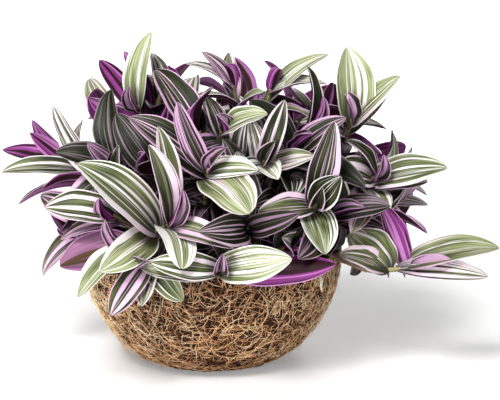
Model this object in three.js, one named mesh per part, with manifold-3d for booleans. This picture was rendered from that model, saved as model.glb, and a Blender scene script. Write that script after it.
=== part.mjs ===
// A potted striped tradescantia in a coir bowl. Millimetres, +Z up, seen from -Y with +X to the right.
// The origin is the centre of the bowl's flat base. Fleshy stems stand in the soil, fan out into a
// flattened dome and carry rosettes of striped leaves, each grown around a small rolled young leaf.
import * as THREE from "three";
import { mergeVertices } from "three/addons/utils/BufferGeometryUtils.js";
import Module from "manifold-3d";

const wasm = await Module();
wasm.setup();

// ---- Driving dimensions -------------------------------------------------------------------------
// rim, base: radii. wall: its thickness. cavity: the heights of the rings inside.
const BOWL = {
  rim: 106, base: 34, height: 94, wall: 8, sides: 28, rings: 6, cavity: [94, 76, 46, 20, 8],
};
const LUMPS = [{ height: 0.9, around: 3, rise: 11 }, { height: 0.45, around: 7, rise: -7 }];
const FIBRE = 2.5; // loose fibres stand this far out of the bowl
// Height of the soil at the wall and in the middle, and where between them its mound turns.
const SOIL = { edge: 76, middle: 82, turn: 0.55, gap: 0.4 };
const CLEAR = 0.3; // gap between pieces that touch

// foot: height of its lower end in the soil. spread: the foot's distance from the axis as a share of
// the tip's, up to reach, and never past limit once shifted. lead: how far its curve runs straight on.
const STEM = {
  radius: 2.6, sides: 5, steps: 3, foot: 61, spread: 0.55, reach: 76, limit: 86, lead: 0.9, collar: 3,
};
const NODE = { first: 5, step: 5, end: 5 }; // leaf bases below the stem's tip, and the spare below them

// rib: thickness along the midrib, from which it thins to its margins. bow: the arch's height as a
// share of the length. fold: how steeply each half rises, more where the base clasps the stem.
const BLADE = { rib: 1.3, bow: 0.11, fold: 24, clasp: 40, claspEnd: 0.35, leastCos: 0.5 };
const BUD = { width: 11, fold: 58, bow: 0.08, down: 3 }; // the rolled young leaf, from inside the tip
const OUTLINE = { base: 0.78, tip: 0.8 }; // exponents of the leaf's outline
const STATIONS = { bud: [0.3, 0.7], short: [0.24, 0.62], long: [0.18, 0.42, 0.74], apart: 0.03 };
const LONG_LEAF = 52; // a leaf at least this long has the long stations
const OUTER = 0.24; // past this share of its length a leaf clears its own sisters

// How a leaf may bend clear of its neighbours: stretch of its length, pitch and turn in degrees.
const STRETCHES = [1, 0.88, 0.76, 0.64, 0.52];
const SWINGS = [
  [0, 0], [0, 8], [0, -8], [8, 0], [-8, 0], [0, 17], [0, -17], [17, 0], [-17, 0],
  [0, 28], [0, -28], [28, 0], [14, 24], [14, -24],
];
// How a stem may: its rise above the soil, and its foot shifted in x and y.
const RISES = [1, 1.5, 0.6, 2, 2.6];
const FOOT_SHIFTS = [
  [0, 0], [8, 0], [-8, 0], [0, 8], [0, -8], [9, 9], [-9, 9], [9, -9], [-9, -9],
  [16, 0], [-16, 0], [0, 16], [0, -16], [16, 16], [-16, 16], [16, -16], [-16, -16],
];

// ---- The shoots that the front shows ------------------------------------------------------------
// tip: the stem's tip. aim: the way it points. leaves, youngest first: the leaf's tip from the
// stem's tip in x, y and z, its width, the roll in degrees that turns its underside to the front, and
// for a leaf that arches strongly the height of its arch as a share of its length.
const FRONT_SHOOTS = [
  { name: "front_left", tip: [-27, -124, 141], aim: [0.5, -0.7, 0.45], bud: [8, -6, 27], leaves: [
    [-16, -6, 60, 21, 0], [-7, 6, 71, 21, 0], [46, -14, -16, 22, 0],
    [8, -28, -28, 30, 0, 0.24], [-69, -8, 46, 36, 0], [-53, -16, -33, 27, 0]] },
  { name: "front_middle", tip: [0, -106, 179], aim: [0.1, -0.75, 0.65], bud: [14, -8, 17], leaves: [
    [-23, 0, 50, 18, -35], [37, -10, 0, 20, 0], [-60, 8, 37, 28, 0],
    [31, -30, -28, 36, 0, 0.24], [-22, 4, 7, 13, 0]] },
  { name: "centre", tip: [42, -98, 184], aim: [0.1, -0.8, 0.6], bud: [8, -10, 16], leaves: [
    [15, -4, 46, 17, 0], [-18, -16, -5, 16, 0], [10, -22, -11, 19, 0],
    [38, 4, 2, 17, 0], [-11, 10, 30, 16, 0]] },
  { name: "front_right", tip: [81, -105, 152], aim: [0.15, -0.85, 0.5], bud: [4, -9, 14], leaves: [
    [18, -8, 22, 23, 0], [-44, -8, -5, 21, 0], [13, 0, 62, 23, 0], [6, -16, -36, 28, 0]] },
  { name: "right", tip: [130, -58, 164], aim: [0.35, -0.75, 0.55], bud: [4, -8, 18], leaves: [
    [-25, -4, 28, 20, 30], [-35, -10, 7, 25, 0], [55, 0, 6, 27, 0], [41, 10, -7, 20, 0],
    [8, -10, -28, 21, 0], [28, 16, 20, 15, 80], [-22, -36, -38, 24, 0]] },
  { name: "top_right", tip: [112, -35, 205], aim: [0.2, -0.65, 0.75], bud: [-8, -4, 23], leaves: [
    [-5, 6, 56, 34, 0], [37, 0, 34, 22, 0], [-24, -12, 13, 15, 60],
    [35, 20, 28, 20, 0], [-42, -14, -1, 17, 0]] },
  { name: "front_low", tip: [9, -130, 107], aim: [0.1, -0.9, 0.25], bud: [2, -8, 14], leaves: [
    [-51, -10, 8, 21, 0], [53, -8, 10, 28, 0], [-60, 4, 5, 20, 0], [86, 8, 2, 24, 170]] },
  { name: "left_low", tip: [-65, -112, 121], aim: [-0.5, -0.75, 0.2], bud: [-12, -4, 21], leaves: [
    [-34, -6, -39, 20, 0], [-32, 0, -30, 15, 0], [-48, 4, -17, 31, 150]] },
  { name: "front_left_low", tip: [-46, -122, 111], aim: [-0.1, -0.95, 0.2], bud: [-2, -14, 14], leaves: [
    [-27, -10, -39, 21, 0], [27, -6, -29, 20, 0], [-4, -14, -28, 18, 0]] },
  { name: "left", tip: [-73, -98, 141], aim: [-0.6, -0.5, 0.5], bud: [-9, -8, 15], leaves: [
    [-51, 0, 6, 27, 0], [-53, 16, 5, 17, 0], [-40, 0, -19, 16, 0],
    [-14, 20, 20, 16, 0], [0, 14, 52, 20, 0]] },
  { name: "far_left", tip: [-111, -30, 168], aim: [-0.75, 0.25, 0.45], bud: [-18, 4, 12], leaves: [
    [-55, 0, 11, 16, 0], [-55, -6, -6, 18, 0], [-30, -4, 36, 17, 0], [-31, -12, 27, 15, 0],
    [-22, -14, -18, 15, 0], [-16, 20, 44, 18, 0]] },
  { name: "top_left", tip: [-58, -25, 214], aim: [-0.3, -0.5, 0.75], bud: [-6, -10, 17], leaves: [
    [11, 4, 58, 25, 0], [-31, 10, 35, 19, 160], [-38, -6, 7, 16, 160],
    [25, -12, 9, 24, 175], [-12, 20, 41, 18, 160]] },
  { name: "top_middle", tip: [17, -25, 230], aim: [-0.2, -0.2, 0.9], bud: [-6, -8, 17], leaves: [
    [-37, 0, 17, 17, 0], [-23, 10, 27, 15, 0], [-3, 20, 24, 14, 0],
    [-30, -14, -8, 18, 0], [25, -8, -4, 17, 0]] },
  { name: "top_middle_right", tip: [48, -19, 226], aim: [0.3, -0.2, 0.9], bud: [6, -6, 17], leaves: [
    [44, 0, 4, 19, 0], [6, 8, 26, 14, 0], [48, 20, 22, 19, 0], [37, -16, -25, 17, 0]] },
  { name: "upper_middle", tip: [10, -80, 203], aim: [0.2, -0.6, 0.7], bud: [-5, -9, 14], leaves: [
    [40, -6, 6, 22, 0], [-13, 4, 26, 15, 0], [-22, -10, -14, 17, 0]] },
  { name: "top_left_behind", tip: [-38, -16, 228], aim: [0.3, -0.2, 0.9], bud: [4, -6, 17], leaves: [
    [47, -38, -34, 28, 0, 0.22], [-4, 10, 28, 17, 0]] },
  { name: "right_low", tip: [140, -20, 138], aim: [0.5, -0.3, 0.3], bud: [16, -6, 8], leaves: [
    [14, -4, -30, 14, 0], [22, 4, -29, 14, 0], [36, 10, -8, 13, 0], [30, 2, 18, 18, 0]] },
  { name: "trailing_right", tip: [160, -72, 93], aim: [0.95, -0.15, 0.1], bud: [28, -12, 8], leaves: [
    [-36, -14, 50, 17, 90], [66, 4, 15, 26, -80], [56, -8, 0, 19, 45], [-52, 8, 26, 33, -60],
    [-62, -10, 12, 22, 0]] },
];

// ---- The shoots that fill the gaps, the sides, the back and the top ------------------------------
const INNER_TIPS = [
  [72, -72, 186], [30, -100, 134], [100, -84, 132], [-82, -72, 176], [-14, -70, 200],
  [76, -50, 208], [-44, -84, 176], [124, -46, 130], [16, -64, 158], [62, -74, 152],
  [4, -84, 126], [62, -94, 120], [-82, -74, 134],
];
const DOME = { x: 8, z: 96, wide: 136, deep: 122, tall: 118 }; // the shell that their aim stands square to
const RINGS = [ // centre, half width and half depth of the ring, first and last bearing (90 is +Y), shoots
  { x: 12, z: 110, wide: 112, deep: 118, from: 4, to: 186, count: 8 },
  { x: 16, z: 146, wide: 116, deep: 113, from: -2, to: 180, count: 7 },
  { x: 8, z: 187, wide: 88, deep: 79, from: 8, to: 172, count: 5 },
  { x: 8, z: 210, wide: 38, deep: 34, from: 50, to: 170, count: 2 },
];
const RULE = {
  seed: 11, scatter: 6, tilt: 0.16, droop: 0.16, turn: 148, turnSpread: 22,
  lean: [40, 58, 73, 86, 98], length: [48, 59, 63, 61, 56], width: [21, 26, 29, 28, 25],
  spread: 0.12, front: -60,
};

// ---- Small helpers ------------------------------------------------------------------------------
const MERGE = 1e-3; // corners closer than this are one
const TOUCH = 1e-4; // a common volume below this is no crossing
const vec = (a) => new THREE.Vector3(a[0], a[1], a[2]);
const rad = THREE.MathUtils.degToRad;
const UP = new THREE.Vector3(0, 0, 1);

// A repeatable random number from 0 to 1.
function seededRandom(seed) {
  let state = seed;
  return () => {
    state = (state * 16807) % 2147483647;
    return state / 2147483647;
  };
}

// A closed solid from a geometry: equal corners are merged, and triangles left with no area dropped.
function solidOf(geometry) {
  const bare = geometry.clone();
  bare.deleteAttribute("normal");
  bare.deleteAttribute("uv");
  const merged = mergeVertices(bare, MERGE);
  const index = merged.index.array;
  const kept = [];
  for (let i = 0; i < index.length; i += 3) {
    const [a, b, c] = index.slice(i, i + 3);
    if (a !== b && b !== c && c !== a) kept.push(a, b, c);
  }
  const mesh = new wasm.Mesh({
    numProp: 3,
    vertProperties: new Float32Array(merged.attributes.position.array),
    triVerts: new Uint32Array(kept),
  });
  return new wasm.Manifold(mesh);
}

function geometryOf(solid) {
  const mesh = solid.getMesh();
  const geometry = new THREE.BufferGeometry();
  geometry.setAttribute("position", new THREE.BufferAttribute(mesh.vertProperties, 3));
  geometry.setIndex(new THREE.BufferAttribute(mesh.triVerts, 1));
  return geometry;
}

// The body of a fused node: its near corners are merged, and loose scraps and sealed hollows dropped.
function mainBody(fused) {
  const pieces = solidOf(geometryOf(fused)).decompose();
  return pieces.reduce((best, piece) => (piece.volume() > best.volume() ? piece : best));
}

const crosses = (a, b) => {
  const p = a.box;
  const q = b.box;
  for (let k = 0; k < 3; k += 1) {
    if (p.min[k] > q.max[k] || q.min[k] > p.max[k]) return false;
  }
  return a.solid.intersect(b.solid).volume() > TOUCH;
};
const boxed = (solid, owner = "") => ({ solid, owner, box: solid.boundingBox() });

// ---- Coir bowl and soil -------------------------------------------------------------------------
// The outer wall is a quarter ellipse from the edge of the flat base to the rim.
const wallRadius = (z) => {
  const down = 1 - z / BOWL.height;
  return BOWL.base + (BOWL.rim - BOWL.base) * Math.sqrt(Math.max(0, 1 - down * down));
};
// The pressed fibre is uneven: the wall bulges in and out by a smooth formula.
function lumpAt(bearing, z) {
  const middle = Math.sin((z / BOWL.height) * Math.PI);
  const waves = LUMPS.map((lump) => lump.height * Math.sin(lump.around * bearing + z / lump.rise));
  return middle * waves.reduce((sum, wave) => sum + wave, 0);
}

function latheUp(profile, sides) {
  const geometry = new THREE.LatheGeometry(profile.map(([r, z]) => new THREE.Vector2(r, z)), sides);
  geometry.rotateX(Math.PI / 2);
  return geometry;
}

function outerWall(grow) {
  const points = [];
  for (let i = 0; i <= BOWL.rings; i += 1) {
    const angle = (i / BOWL.rings) * (Math.PI / 2);
    const z = BOWL.height * (1 - Math.cos(angle));
    points.push([wallRadius(z) + grow, z]);
  }
  return points;
}

// The cavity follows the outer wall at the wall's thickness; one ring lies level with the soil's edge.
const cavityRadius = (z) => {
  const share = (z - BOWL.wall) / (BOWL.height - BOWL.wall);
  return wallRadius(share * BOWL.height) - BOWL.wall;
};

function makeBowl() {
  const inner = BOWL.cavity.map((z) => [cavityRadius(z), z]);
  const geometry = latheUp([[0, 0], ...outerWall(0), ...inner, [0, BOWL.wall]], BOWL.sides);
  const place = geometry.attributes.position;
  for (let i = 0; i < place.count; i += 1) {
    const x = place.getX(i);
    const y = place.getY(i);
    const z = place.getZ(i);
    const r = Math.hypot(x, y);
    if (z === 0 || r < wallRadius(z) - BOWL.wall / 2) continue;
    const swell = 1 + lumpAt(Math.atan2(y, x), z) / r;
    place.setXYZ(i, x * swell, y * swell, z);
  }
  return solidOf(geometry);
}

// The soil fills the cavity up to its edge and mounds a little towards the middle.
function makeSoil() {
  const levels = BOWL.cavity.filter((z) => z <= SOIL.edge);
  const sides = levels.map((z) => [cavityRadius(z) - SOIL.gap, Math.max(z, BOWL.wall + CLEAR)]);
  const mound = [sides[0][0] * SOIL.turn, SOIL.middle - (SOIL.middle - SOIL.edge) * SOIL.turn ** 2];
  const profile = [[0, BOWL.wall + CLEAR], ...sides.reverse(), mound, [0, SOIL.middle]];
  return solidOf(latheUp(profile, BOWL.sides));
}

// The space of the bowl, its loose fibres and the soil, which leaves and stems stay out of.
function makeBowlSpace() {
  const mouth = BOWL.rim - BOWL.wall - FIBRE;
  const top = BOWL.height + FIBRE;
  const ground = SOIL.middle + CLEAR;
  const lip = [[BOWL.rim + FIBRE, top], [mouth, top], [mouth, ground]];
  return solidOf(latheUp([[0, 0], ...outerWall(FIBRE), ...lip, [0, ground]], BOWL.sides));
}

// ---- Stems --------------------------------------------------------------------------------------
// A stem stands straight in its hole, curves out to its leafy end and is straight along that end.
class StemPath extends THREE.Curve {
  constructor(points) {
    super();
    this.points = points;
  }

  getUtoTmapping(u) {
    return u;
  }

  getPoint(t, target = new THREE.Vector3()) {
    const last = this.points.length - 1;
    const place = THREE.MathUtils.clamp(t, 0, 1) * last;
    const i = Math.min(Math.floor(place), last - 1);
    return target.lerpVectors(this.points[i], this.points[i + 1], place - i);
  }
}

const leafyLength = (shoot) => NODE.first + NODE.step * (shoot.leaves.length - 1) + NODE.end;

// Between the soil and the leafy end the stem follows a cubic curve.
function stemPoints(shoot, shift, rise) {
  const aim = vec(shoot.aim).normalize();
  const tip = vec(shoot.tip);
  const neck = tip.clone().addScaledVector(aim, -leafyLength(shoot));
  const spread = Math.min(STEM.spread, STEM.reach / Math.hypot(tip.x, tip.y));
  const foot = new THREE.Vector3(spread * tip.x + shift[0], spread * tip.y + shift[1], SOIL.middle);
  const span = neck.distanceTo(foot) * STEM.lead;
  const start = foot.clone().addScaledVector(UP, span * rise / 3);
  const finish = neck.clone().addScaledVector(aim, -span / 3);
  const curve = new THREE.CubicBezierCurve3(foot, start, finish, neck);
  return [foot.clone().setZ(STEM.foot), ...curve.getPoints(STEM.steps), tip];
}

function tube(points, radius) {
  const section = new THREE.Shape();
  for (let i = 0; i < STEM.sides; i += 1) {
    const angle = (i / STEM.sides) * 2 * Math.PI;
    const corner = [radius * Math.cos(angle), radius * Math.sin(angle)];
    if (i === 0) section.moveTo(corner[0], corner[1]);
    else section.lineTo(corner[0], corner[1]);
  }
  section.closePath();
  const options = { steps: points.length - 1, curveSegments: 1, extrudePath: new StemPath(points) };
  return solidOf(new THREE.ExtrudeGeometry(section, options));
}

// ---- Leaves -------------------------------------------------------------------------------------
const outlinePeak = OUTLINE.base / (OUTLINE.base + OUTLINE.tip);
const outlineAt = (u) =>
  (u ** OUTLINE.base * (1 - u) ** OUTLINE.tip) /
  (outlinePeak ** OUTLINE.base * (1 - outlinePeak) ** OUTLINE.tip);

// The leaf's frame: base, chord, and the side that faces the stem's end, rolled about the chord.
function leafFrame(shoot, leaf, swing, stretch) {
  const aim = vec(shoot.aim).normalize();
  const base = vec(shoot.tip).addScaledVector(aim, -leaf.down);
  const chord = vec(shoot.tip).add(vec(leaf.to)).sub(base);
  const across = aim.clone().cross(chord).normalize();
  chord.applyAxisAngle(across, -rad(swing[0])).applyAxisAngle(aim, rad(swing[1]));
  chord.multiplyScalar(stretch);
  const along = chord.clone().normalize();
  const face = aim.clone().addScaledVector(along, -aim.dot(along)).normalize();
  face.applyAxisAngle(along, rad(leaf.roll));
  return { base, chord, face, length: chord.length() };
}

// The blade from one share of its length to its tip, grown by a margin on all sides.
function bladeSolid(frame, leaf, grow, from) {
  const { base, chord, face, length } = frame;
  const half = BLADE.rib / 2 + grow;
  const positions = [];
  const rows = [];
  const add = (point, normal, distance) => {
    const p = point.clone().addScaledVector(normal, distance);
    positions.push(p.x, p.y, p.z);
    return positions.length / 3 - 1;
  };
  const spot = (u) => {
    const centre = base.clone().addScaledVector(chord, u);
    centre.addScaledVector(face, leaf.bow * length * 4 * u * (1 - u));
    const along = chord.clone().addScaledVector(face, leaf.bow * length * 4 * (1 - 2 * u)).normalize();
    const normal = face.clone().addScaledVector(along, -face.dot(along)).normalize();
    return { centre, along, normal, side: along.clone().cross(normal) };
  };
  const wanted = leaf.down === BUD.down ? STATIONS.bud : length < LONG_LEAF ? STATIONS.short : STATIONS.long;
  for (const u of wanted.filter((share) => share > from + STATIONS.apart)) {
    const { centre, normal, side } = spot(u);
    const clasp = Math.max(0, 1 - u / BLADE.claspEnd) ** 2;
    const fold = rad(leaf.fold + (Math.max(BLADE.clasp, leaf.fold) - leaf.fold) * clasp);
    const reach = (leaf.width / 2) * outlineAt(u) + grow;
    const row = [];
    for (const hand of [-1, 1]) {
      const edge = centre.clone().addScaledVector(side, hand * reach);
      edge.addScaledVector(normal, reach * Math.tan(fold));
      const outward = normal.clone().multiplyScalar(Math.cos(fold));
      outward.addScaledVector(side, -hand * Math.sin(fold));
      row.push([add(edge, outward, grow), add(edge, outward, -grow)]);
    }
    const ridge = half / Math.max(BLADE.leastCos, Math.cos(fold));
    row.splice(1, 0, [add(centre, normal, ridge), add(centre, normal, -ridge)]);
    rows.push(row);
  }
  const [root, tip] = [from, 1].map((u) => {
    const { centre, along, normal } = spot(u);
    centre.addScaledVector(along, u === 1 ? grow : -grow);
    return [add(centre, normal, grow), add(centre, normal, -grow)];
  });
  const triangles = [];
  const quad = (a, b, c, d) => triangles.push([a, b, c], [a, c, d]);
  for (let i = 0; i + 1 < rows.length; i += 1) {
    const [l, m, r] = rows[i];
    const [nl, nm, nr] = rows[i + 1];
    quad(l[0], m[0], nm[0], nl[0]);
    quad(m[0], r[0], nr[0], nm[0]);
    triangles.push([l[1], nm[1], m[1]], [l[1], nl[1], nm[1]]);
    triangles.push([m[1], nr[1], r[1]], [m[1], nm[1], nr[1]]);
    quad(l[1], l[0], nl[0], nl[1]);
    quad(r[0], r[1], nr[1], nr[0]);
  }
  const close = ([l, m, r], end) => {
    triangles.push([l[0], m[0], end[0]], [m[0], r[0], end[0]]);
    triangles.push([m[1], l[1], end[1]], [r[1], m[1], end[1]]);
    quad(l[1], l[0], end[0], end[1]);
    quad(r[0], r[1], end[1], end[0]);
  };
  close(rows[rows.length - 1], tip);
  close([...rows[0]].reverse(), root);
  const geometry = new THREE.BufferGeometry();
  geometry.setAttribute("position", new THREE.Float32BufferAttribute(positions, 3));
  geometry.setIndex(triangles.flat());
  return solidOf(geometry);
}

// ---- The rule for the shoots that fill the dome --------------------------------------------------
// None of their leaves hangs over the front of the bowl.
function shootByRule(name, tip, random) {
  const wobble = () => 2 * random() - 1;
  const place = tip.map((value) => Math.round(value + RULE.scatter * wobble()));
  const [x, y, z] = place;
  const out = new THREE.Vector3((x - DOME.x) / DOME.wide, y / DOME.deep, (z - DOME.z) / DOME.tall);
  out.normalize();
  out.add(new THREE.Vector3(wobble(), wobble(), wobble()).multiplyScalar(RULE.tilt)).normalize();
  const first = out.clone().cross(UP).normalize();
  const second = out.clone().cross(first);
  const leaves = [];
  let bearing = 360 * random();
  for (let k = 0; k < RULE.lean.length; k += 1) {
    const lean = rad(RULE.lean[k]);
    const turn = rad(bearing);
    const way = out.clone().multiplyScalar(Math.cos(lean));
    way.addScaledVector(first, Math.sin(lean) * Math.cos(turn));
    way.addScaledVector(second, Math.sin(lean) * Math.sin(turn));
    way.z -= RULE.droop * Math.sin(lean);
    way.normalize();
    way.multiplyScalar(RULE.length[k] * (1 + RULE.spread * wobble()));
    const width = RULE.width[k] * (1 + RULE.spread * wobble());
    const hidesBowl = y + way.y < RULE.front && z + way.z < BOWL.height;
    if (!hidesBowl) leaves.push([...way.toArray(), width, 0]);
    bearing += RULE.turn + RULE.turnSpread * wobble();
  }
  return { name, tip: place, aim: out.toArray(), leaves };
}

function allShoots() {
  const random = seededRandom(RULE.seed);
  const shoots = [...FRONT_SHOOTS];
  INNER_TIPS.forEach((tip, i) => shoots.push(shootByRule(`inner_${i + 1}`, tip, random)));
  RINGS.forEach((ring, level) => {
    for (let i = 0; i < ring.count; i += 1) {
      const bearing = rad(ring.from + (ring.to - ring.from) * i / (ring.count - 1));
      const tip = [ring.x + ring.wide * Math.cos(bearing), ring.deep * Math.sin(bearing), ring.z];
      shoots.push(shootByRule(`ring_${level + 1}_${i + 1}`, tip, random));
    }
  });
  return shoots;
}

// A shoot's leaves with their bases down the stem, and the front shoots' rolled young leaf.
function leavesOf(shoot) {
  const leaves = [];
  if (shoot.bud) leaves.push({ ...BUD, to: shoot.bud, roll: 0 });
  shoot.leaves.forEach(([x, y, z, width, roll, bow = BLADE.bow], k) => {
    leaves.push({ to: [x, y, z], width, roll, fold: BLADE.fold, bow, down: NODE.first + NODE.step * k });
  });
  return leaves;
}

// ---- Assembly -----------------------------------------------------------------------------------
const bowlSpace = boxed(makeBowlSpace(), "bowl");
const shoots = allShoots();
const placed = [];
const stems = [];
let soil = makeSoil();

// A stem is clear where it leaves the soil inside the mouth, passes over the rim and meets no other.
function isClearStem(points) {
  const [foot, ground, ...rest] = points;
  if (Math.hypot(foot.x, foot.y) > STEM.limit) return false;
  const collar = ground.clone().setZ(SOIL.middle + STEM.collar);
  if (crosses(boxed(tube([collar, ...rest], STEM.radius + CLEAR)), bowlSpace)) return false;
  const whole = boxed(tube(points, STEM.radius + 2 * CLEAR));
  return !stems.some((other) => crosses(whole, other));
}

for (const shoot of shoots) {
  const options = RISES.flatMap((rise) => FOOT_SHIFTS.map((shift) => stemPoints(shoot, shift, rise)));
  const points = options.find(isClearStem);
  shoot.body = tube(points, STEM.radius);
  stems.push(boxed(shoot.body, shoot.name));
  const [foot, ground] = points;
  const hole = [foot.clone().setZ(STEM.foot - CLEAR), ground.clone().setZ(SOIL.middle + STEM.collar)];
  soil = soil.subtract(tube(hole, STEM.radius + CLEAR));
}

// The first bend of a leaf that clears the bowl, the other shoots and its own sisters' outer parts.
function clearLeaf(shoot, leaf) {
  for (const stretch of STRETCHES) {
    for (const swing of SWINGS) {
      const frame = leafFrame(shoot, leaf, swing, stretch);
      const spaced = boxed(bladeSolid(frame, leaf, CLEAR, 0), shoot.name);
      const others = (item) => item.owner !== shoot.name && crosses(spaced, item);
      if (crosses(spaced, bowlSpace) || stems.some(others) || placed.some(others)) continue;
      const outer = boxed(bladeSolid(frame, leaf, 0, OUTER), shoot.name);
      if (placed.some((item) => item.owner === shoot.name && crosses(outer, item))) continue;
      return bladeSolid(frame, leaf, 0, 0);
    }
  }
  return null;
}

for (const shoot of shoots) {
  for (const leaf of leavesOf(shoot)) {
    const blade = clearLeaf(shoot, leaf);
    if (!blade) continue;
    placed.push(boxed(blade, shoot.name));
    shoot.body = shoot.body.add(blade);
  }
}

const plant = new THREE.Group();
const addMesh = (name, solid, color, roughness) => {
  const material = new THREE.MeshStandardMaterial({ color, roughness, metalness: 0 });
  const mesh = new THREE.Mesh(geometryOf(solid), material);
  mesh.name = name;
  plant.add(mesh);
};
addMesh("coir_bowl", makeBowl(), 0x9a7140, 0.95);
addMesh("soil", mainBody(soil), 0x2b1d14, 1);
for (const shoot of shoots) addMesh(`stem_${shoot.name}`, mainBody(shoot.body), 0x7f9060, 0.45);

export default plant;
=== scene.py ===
"""A potted striped tradescantia in a coir bowl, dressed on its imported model. Metres, +Z up."""

import math

import bpy
import numpy as np
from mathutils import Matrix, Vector
from mathutils.bvhtree import BVHTree
from mathutils.kdtree import KDTree


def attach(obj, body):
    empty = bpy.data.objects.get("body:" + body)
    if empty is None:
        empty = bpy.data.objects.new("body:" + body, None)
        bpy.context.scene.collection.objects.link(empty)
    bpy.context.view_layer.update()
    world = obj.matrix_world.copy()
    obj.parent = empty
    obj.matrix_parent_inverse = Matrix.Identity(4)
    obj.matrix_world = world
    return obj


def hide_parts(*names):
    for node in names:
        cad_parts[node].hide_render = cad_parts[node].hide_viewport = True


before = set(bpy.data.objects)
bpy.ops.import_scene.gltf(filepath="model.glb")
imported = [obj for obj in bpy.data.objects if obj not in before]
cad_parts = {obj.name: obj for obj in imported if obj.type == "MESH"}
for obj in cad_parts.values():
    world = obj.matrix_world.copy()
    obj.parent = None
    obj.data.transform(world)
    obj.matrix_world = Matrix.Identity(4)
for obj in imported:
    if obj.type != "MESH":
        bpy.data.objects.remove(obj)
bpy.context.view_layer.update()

# ---- The coir bowl -------------------------------------------------------------------------------
# A half-round bowl pressed from coconut fibre with a little latex. Its wall is a felt 8 mm thick,
# dark brown to near-black as painted shade deep between the fibres, and on it lie curved fibres of
# every length, matted together and pulled loose at the ends.
MM = 0.001
BOWL = {"rim": 106, "base": 34, "height": 94, "wall": 8, "floor": 8}  # millimetres, as the solid
LIP_HEIGHT = 1.6
FELT_DEPTH = 1.4  # the felt lies this far under the outermost fibres
SOLE_SHARE = 0.4  # of that depth, where the bowl stands
EVEN_BELOW = 2  # the skin is level and smooth under this height
WALL_STEPS, LIP_STEPS, AROUND = 26, 9, 180
BULGES, LUMPS = (60, 3, 0.7), (14, 4, 0.5)  # the wall's unevenness: size, seed and depth
SINES = 7


def smooth_noise(points, size, seed):
    """Sums of sines over the points' places: a smooth value from about -1 to 1."""
    rng = np.random.default_rng(seed)
    total = np.zeros(points.shape[:-1])
    for _ in range(SINES):
        wave = rng.normal(0, 1, 3)
        wave *= math.tau / size / np.linalg.norm(wave) * rng.uniform(0.6, 1.6)
        total += np.sin(points @ wave + rng.uniform(0, math.tau))
    return total / (SINES / 2)


def bowl_section(inset):
    """Radius and height along the wall: up its outside, over the lip and down its inside."""
    rim, base, height, wall, ground = BOWL.values()
    outside, inside, lip = [], [], []
    for angle in np.linspace(0, math.pi / 2, WALL_STEPS):
        radius = base + (rim - base) * math.sin(angle)
        rise = 1 - math.cos(angle)
        outside.append((radius - inset, max(height * rise, inset * SOLE_SHARE)))
        inside.append((radius - wall + inset, ground + (height - ground) * rise))
    for angle in np.linspace(0, math.pi, LIP_STEPS)[1:-1]:
        radius = rim - wall / 2 + (wall / 2 - inset) * math.cos(angle)
        lip.append((radius, height + LIP_HEIGHT * math.sin(angle)))
    return np.array(outside + lip + inside[::-1])


def round_axis(radius, bearing, height):
    return np.stack(np.broadcast_arrays(radius * np.cos(bearing), radius * np.sin(bearing), height), -1)


def unevenness(points, size, seed, depth):
    """How far the pressed wall stands out or in."""
    return smooth_noise(points, size, seed) * depth


def pushed_out(points, amount):
    """Points moved level away from the bowl's axis, all but those it stands on."""
    amount = (points[..., 2:3] > EVEN_BELOW) * amount[..., None]
    return points + amount * points * [1, 1, 0] / np.linalg.norm(points[..., :2], axis=-1)[..., None]


def skin_between(near, far):
    """Four-sided faces between closed rings of points and the next rings."""
    return np.stack([near, np.roll(near, -1, -1), np.roll(far, -1, -1), far], axis=-1).reshape(-1, 4)


def disc(ring, centre, turned):
    """Four-sided faces that close a ring to its centre, two steps of the ring to a face."""
    first, second = ring[0::2], ring[1::2]
    fan = np.stack([first, second, np.roll(first, -1), np.full(len(first), centre)], axis=-1)
    return fan[:, ::-1] if turned else fan


def new_piece(name, points, quads, maps, materials, look=None, sharp=None):
    """An object from points in millimetres and four-sided faces, with UV maps given face by face."""
    mesh = bpy.data.meshes.new(name)
    mesh.vertices.add(len(points))
    mesh.vertices.foreach_set("co", (np.asarray(points) * MM).astype(np.float32).ravel())
    mesh.loops.add(quads.size)
    mesh.loops.foreach_set("vertex_index", quads.astype(np.int32).ravel())
    mesh.polygons.add(len(quads))
    mesh.polygons.foreach_set("loop_start", np.arange(len(quads), dtype=np.int32) * 4)
    mesh.polygons.foreach_set("use_smooth", np.ones(len(quads), bool))
    if look is not None:
        mesh.polygons.foreach_set("material_index", look.astype(np.int32))
    mesh.update(calc_edges=True)
    for map_name, places in maps.items():
        layer = mesh.uv_layers.new(name=map_name)
        layer.uv.foreach_set("vector", places.astype(np.float32).ravel())
    if sharp is not None:
        ends = np.empty(len(mesh.edges) * 2, np.int32)
        mesh.edges.foreach_get("vertices", ends)
        crease = sharp[ends.reshape(-1, 2)].all(axis=1)
        mesh.attributes.new("sharp_edge", "BOOLEAN", "EDGE").data.foreach_set("value", crease)
    for material in materials:
        mesh.materials.append(material)
    piece = bpy.data.objects.new(name, mesh)
    bpy.context.scene.collection.objects.link(piece)
    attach(piece, "root")
    return piece


def wire(tree, kind, inputs, **settings):
    """A node with its settings made, its inputs set or linked."""
    made = tree.nodes.new(kind)
    for key, value in settings.items():
        setattr(made, key, value)
    for key, value in inputs.items():
        if isinstance(value, bpy.types.NodeSocket):
            tree.links.new(value, made.inputs[key])
        else:
            made.inputs[key].default_value = value
    return made


def calc(tree, operation, *values, clamp=False):
    """A Math node over sockets or numbers."""
    made = wire(tree, "ShaderNodeMath", dict(enumerate(values)), operation=operation, use_clamp=clamp)
    return made.outputs[0]


def rescaled(tree, value, start, stop, low=0.0, high=1.0, kind="LINEAR"):
    """A value's way from start to stop, put out as one from low to high."""
    inputs = {"Value": value, "From Min": start, "From Max": stop, "To Min": low, "To Max": high}
    return wire(tree, "ShaderNodeMapRange", inputs, interpolation_type=kind).outputs["Result"]


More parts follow.
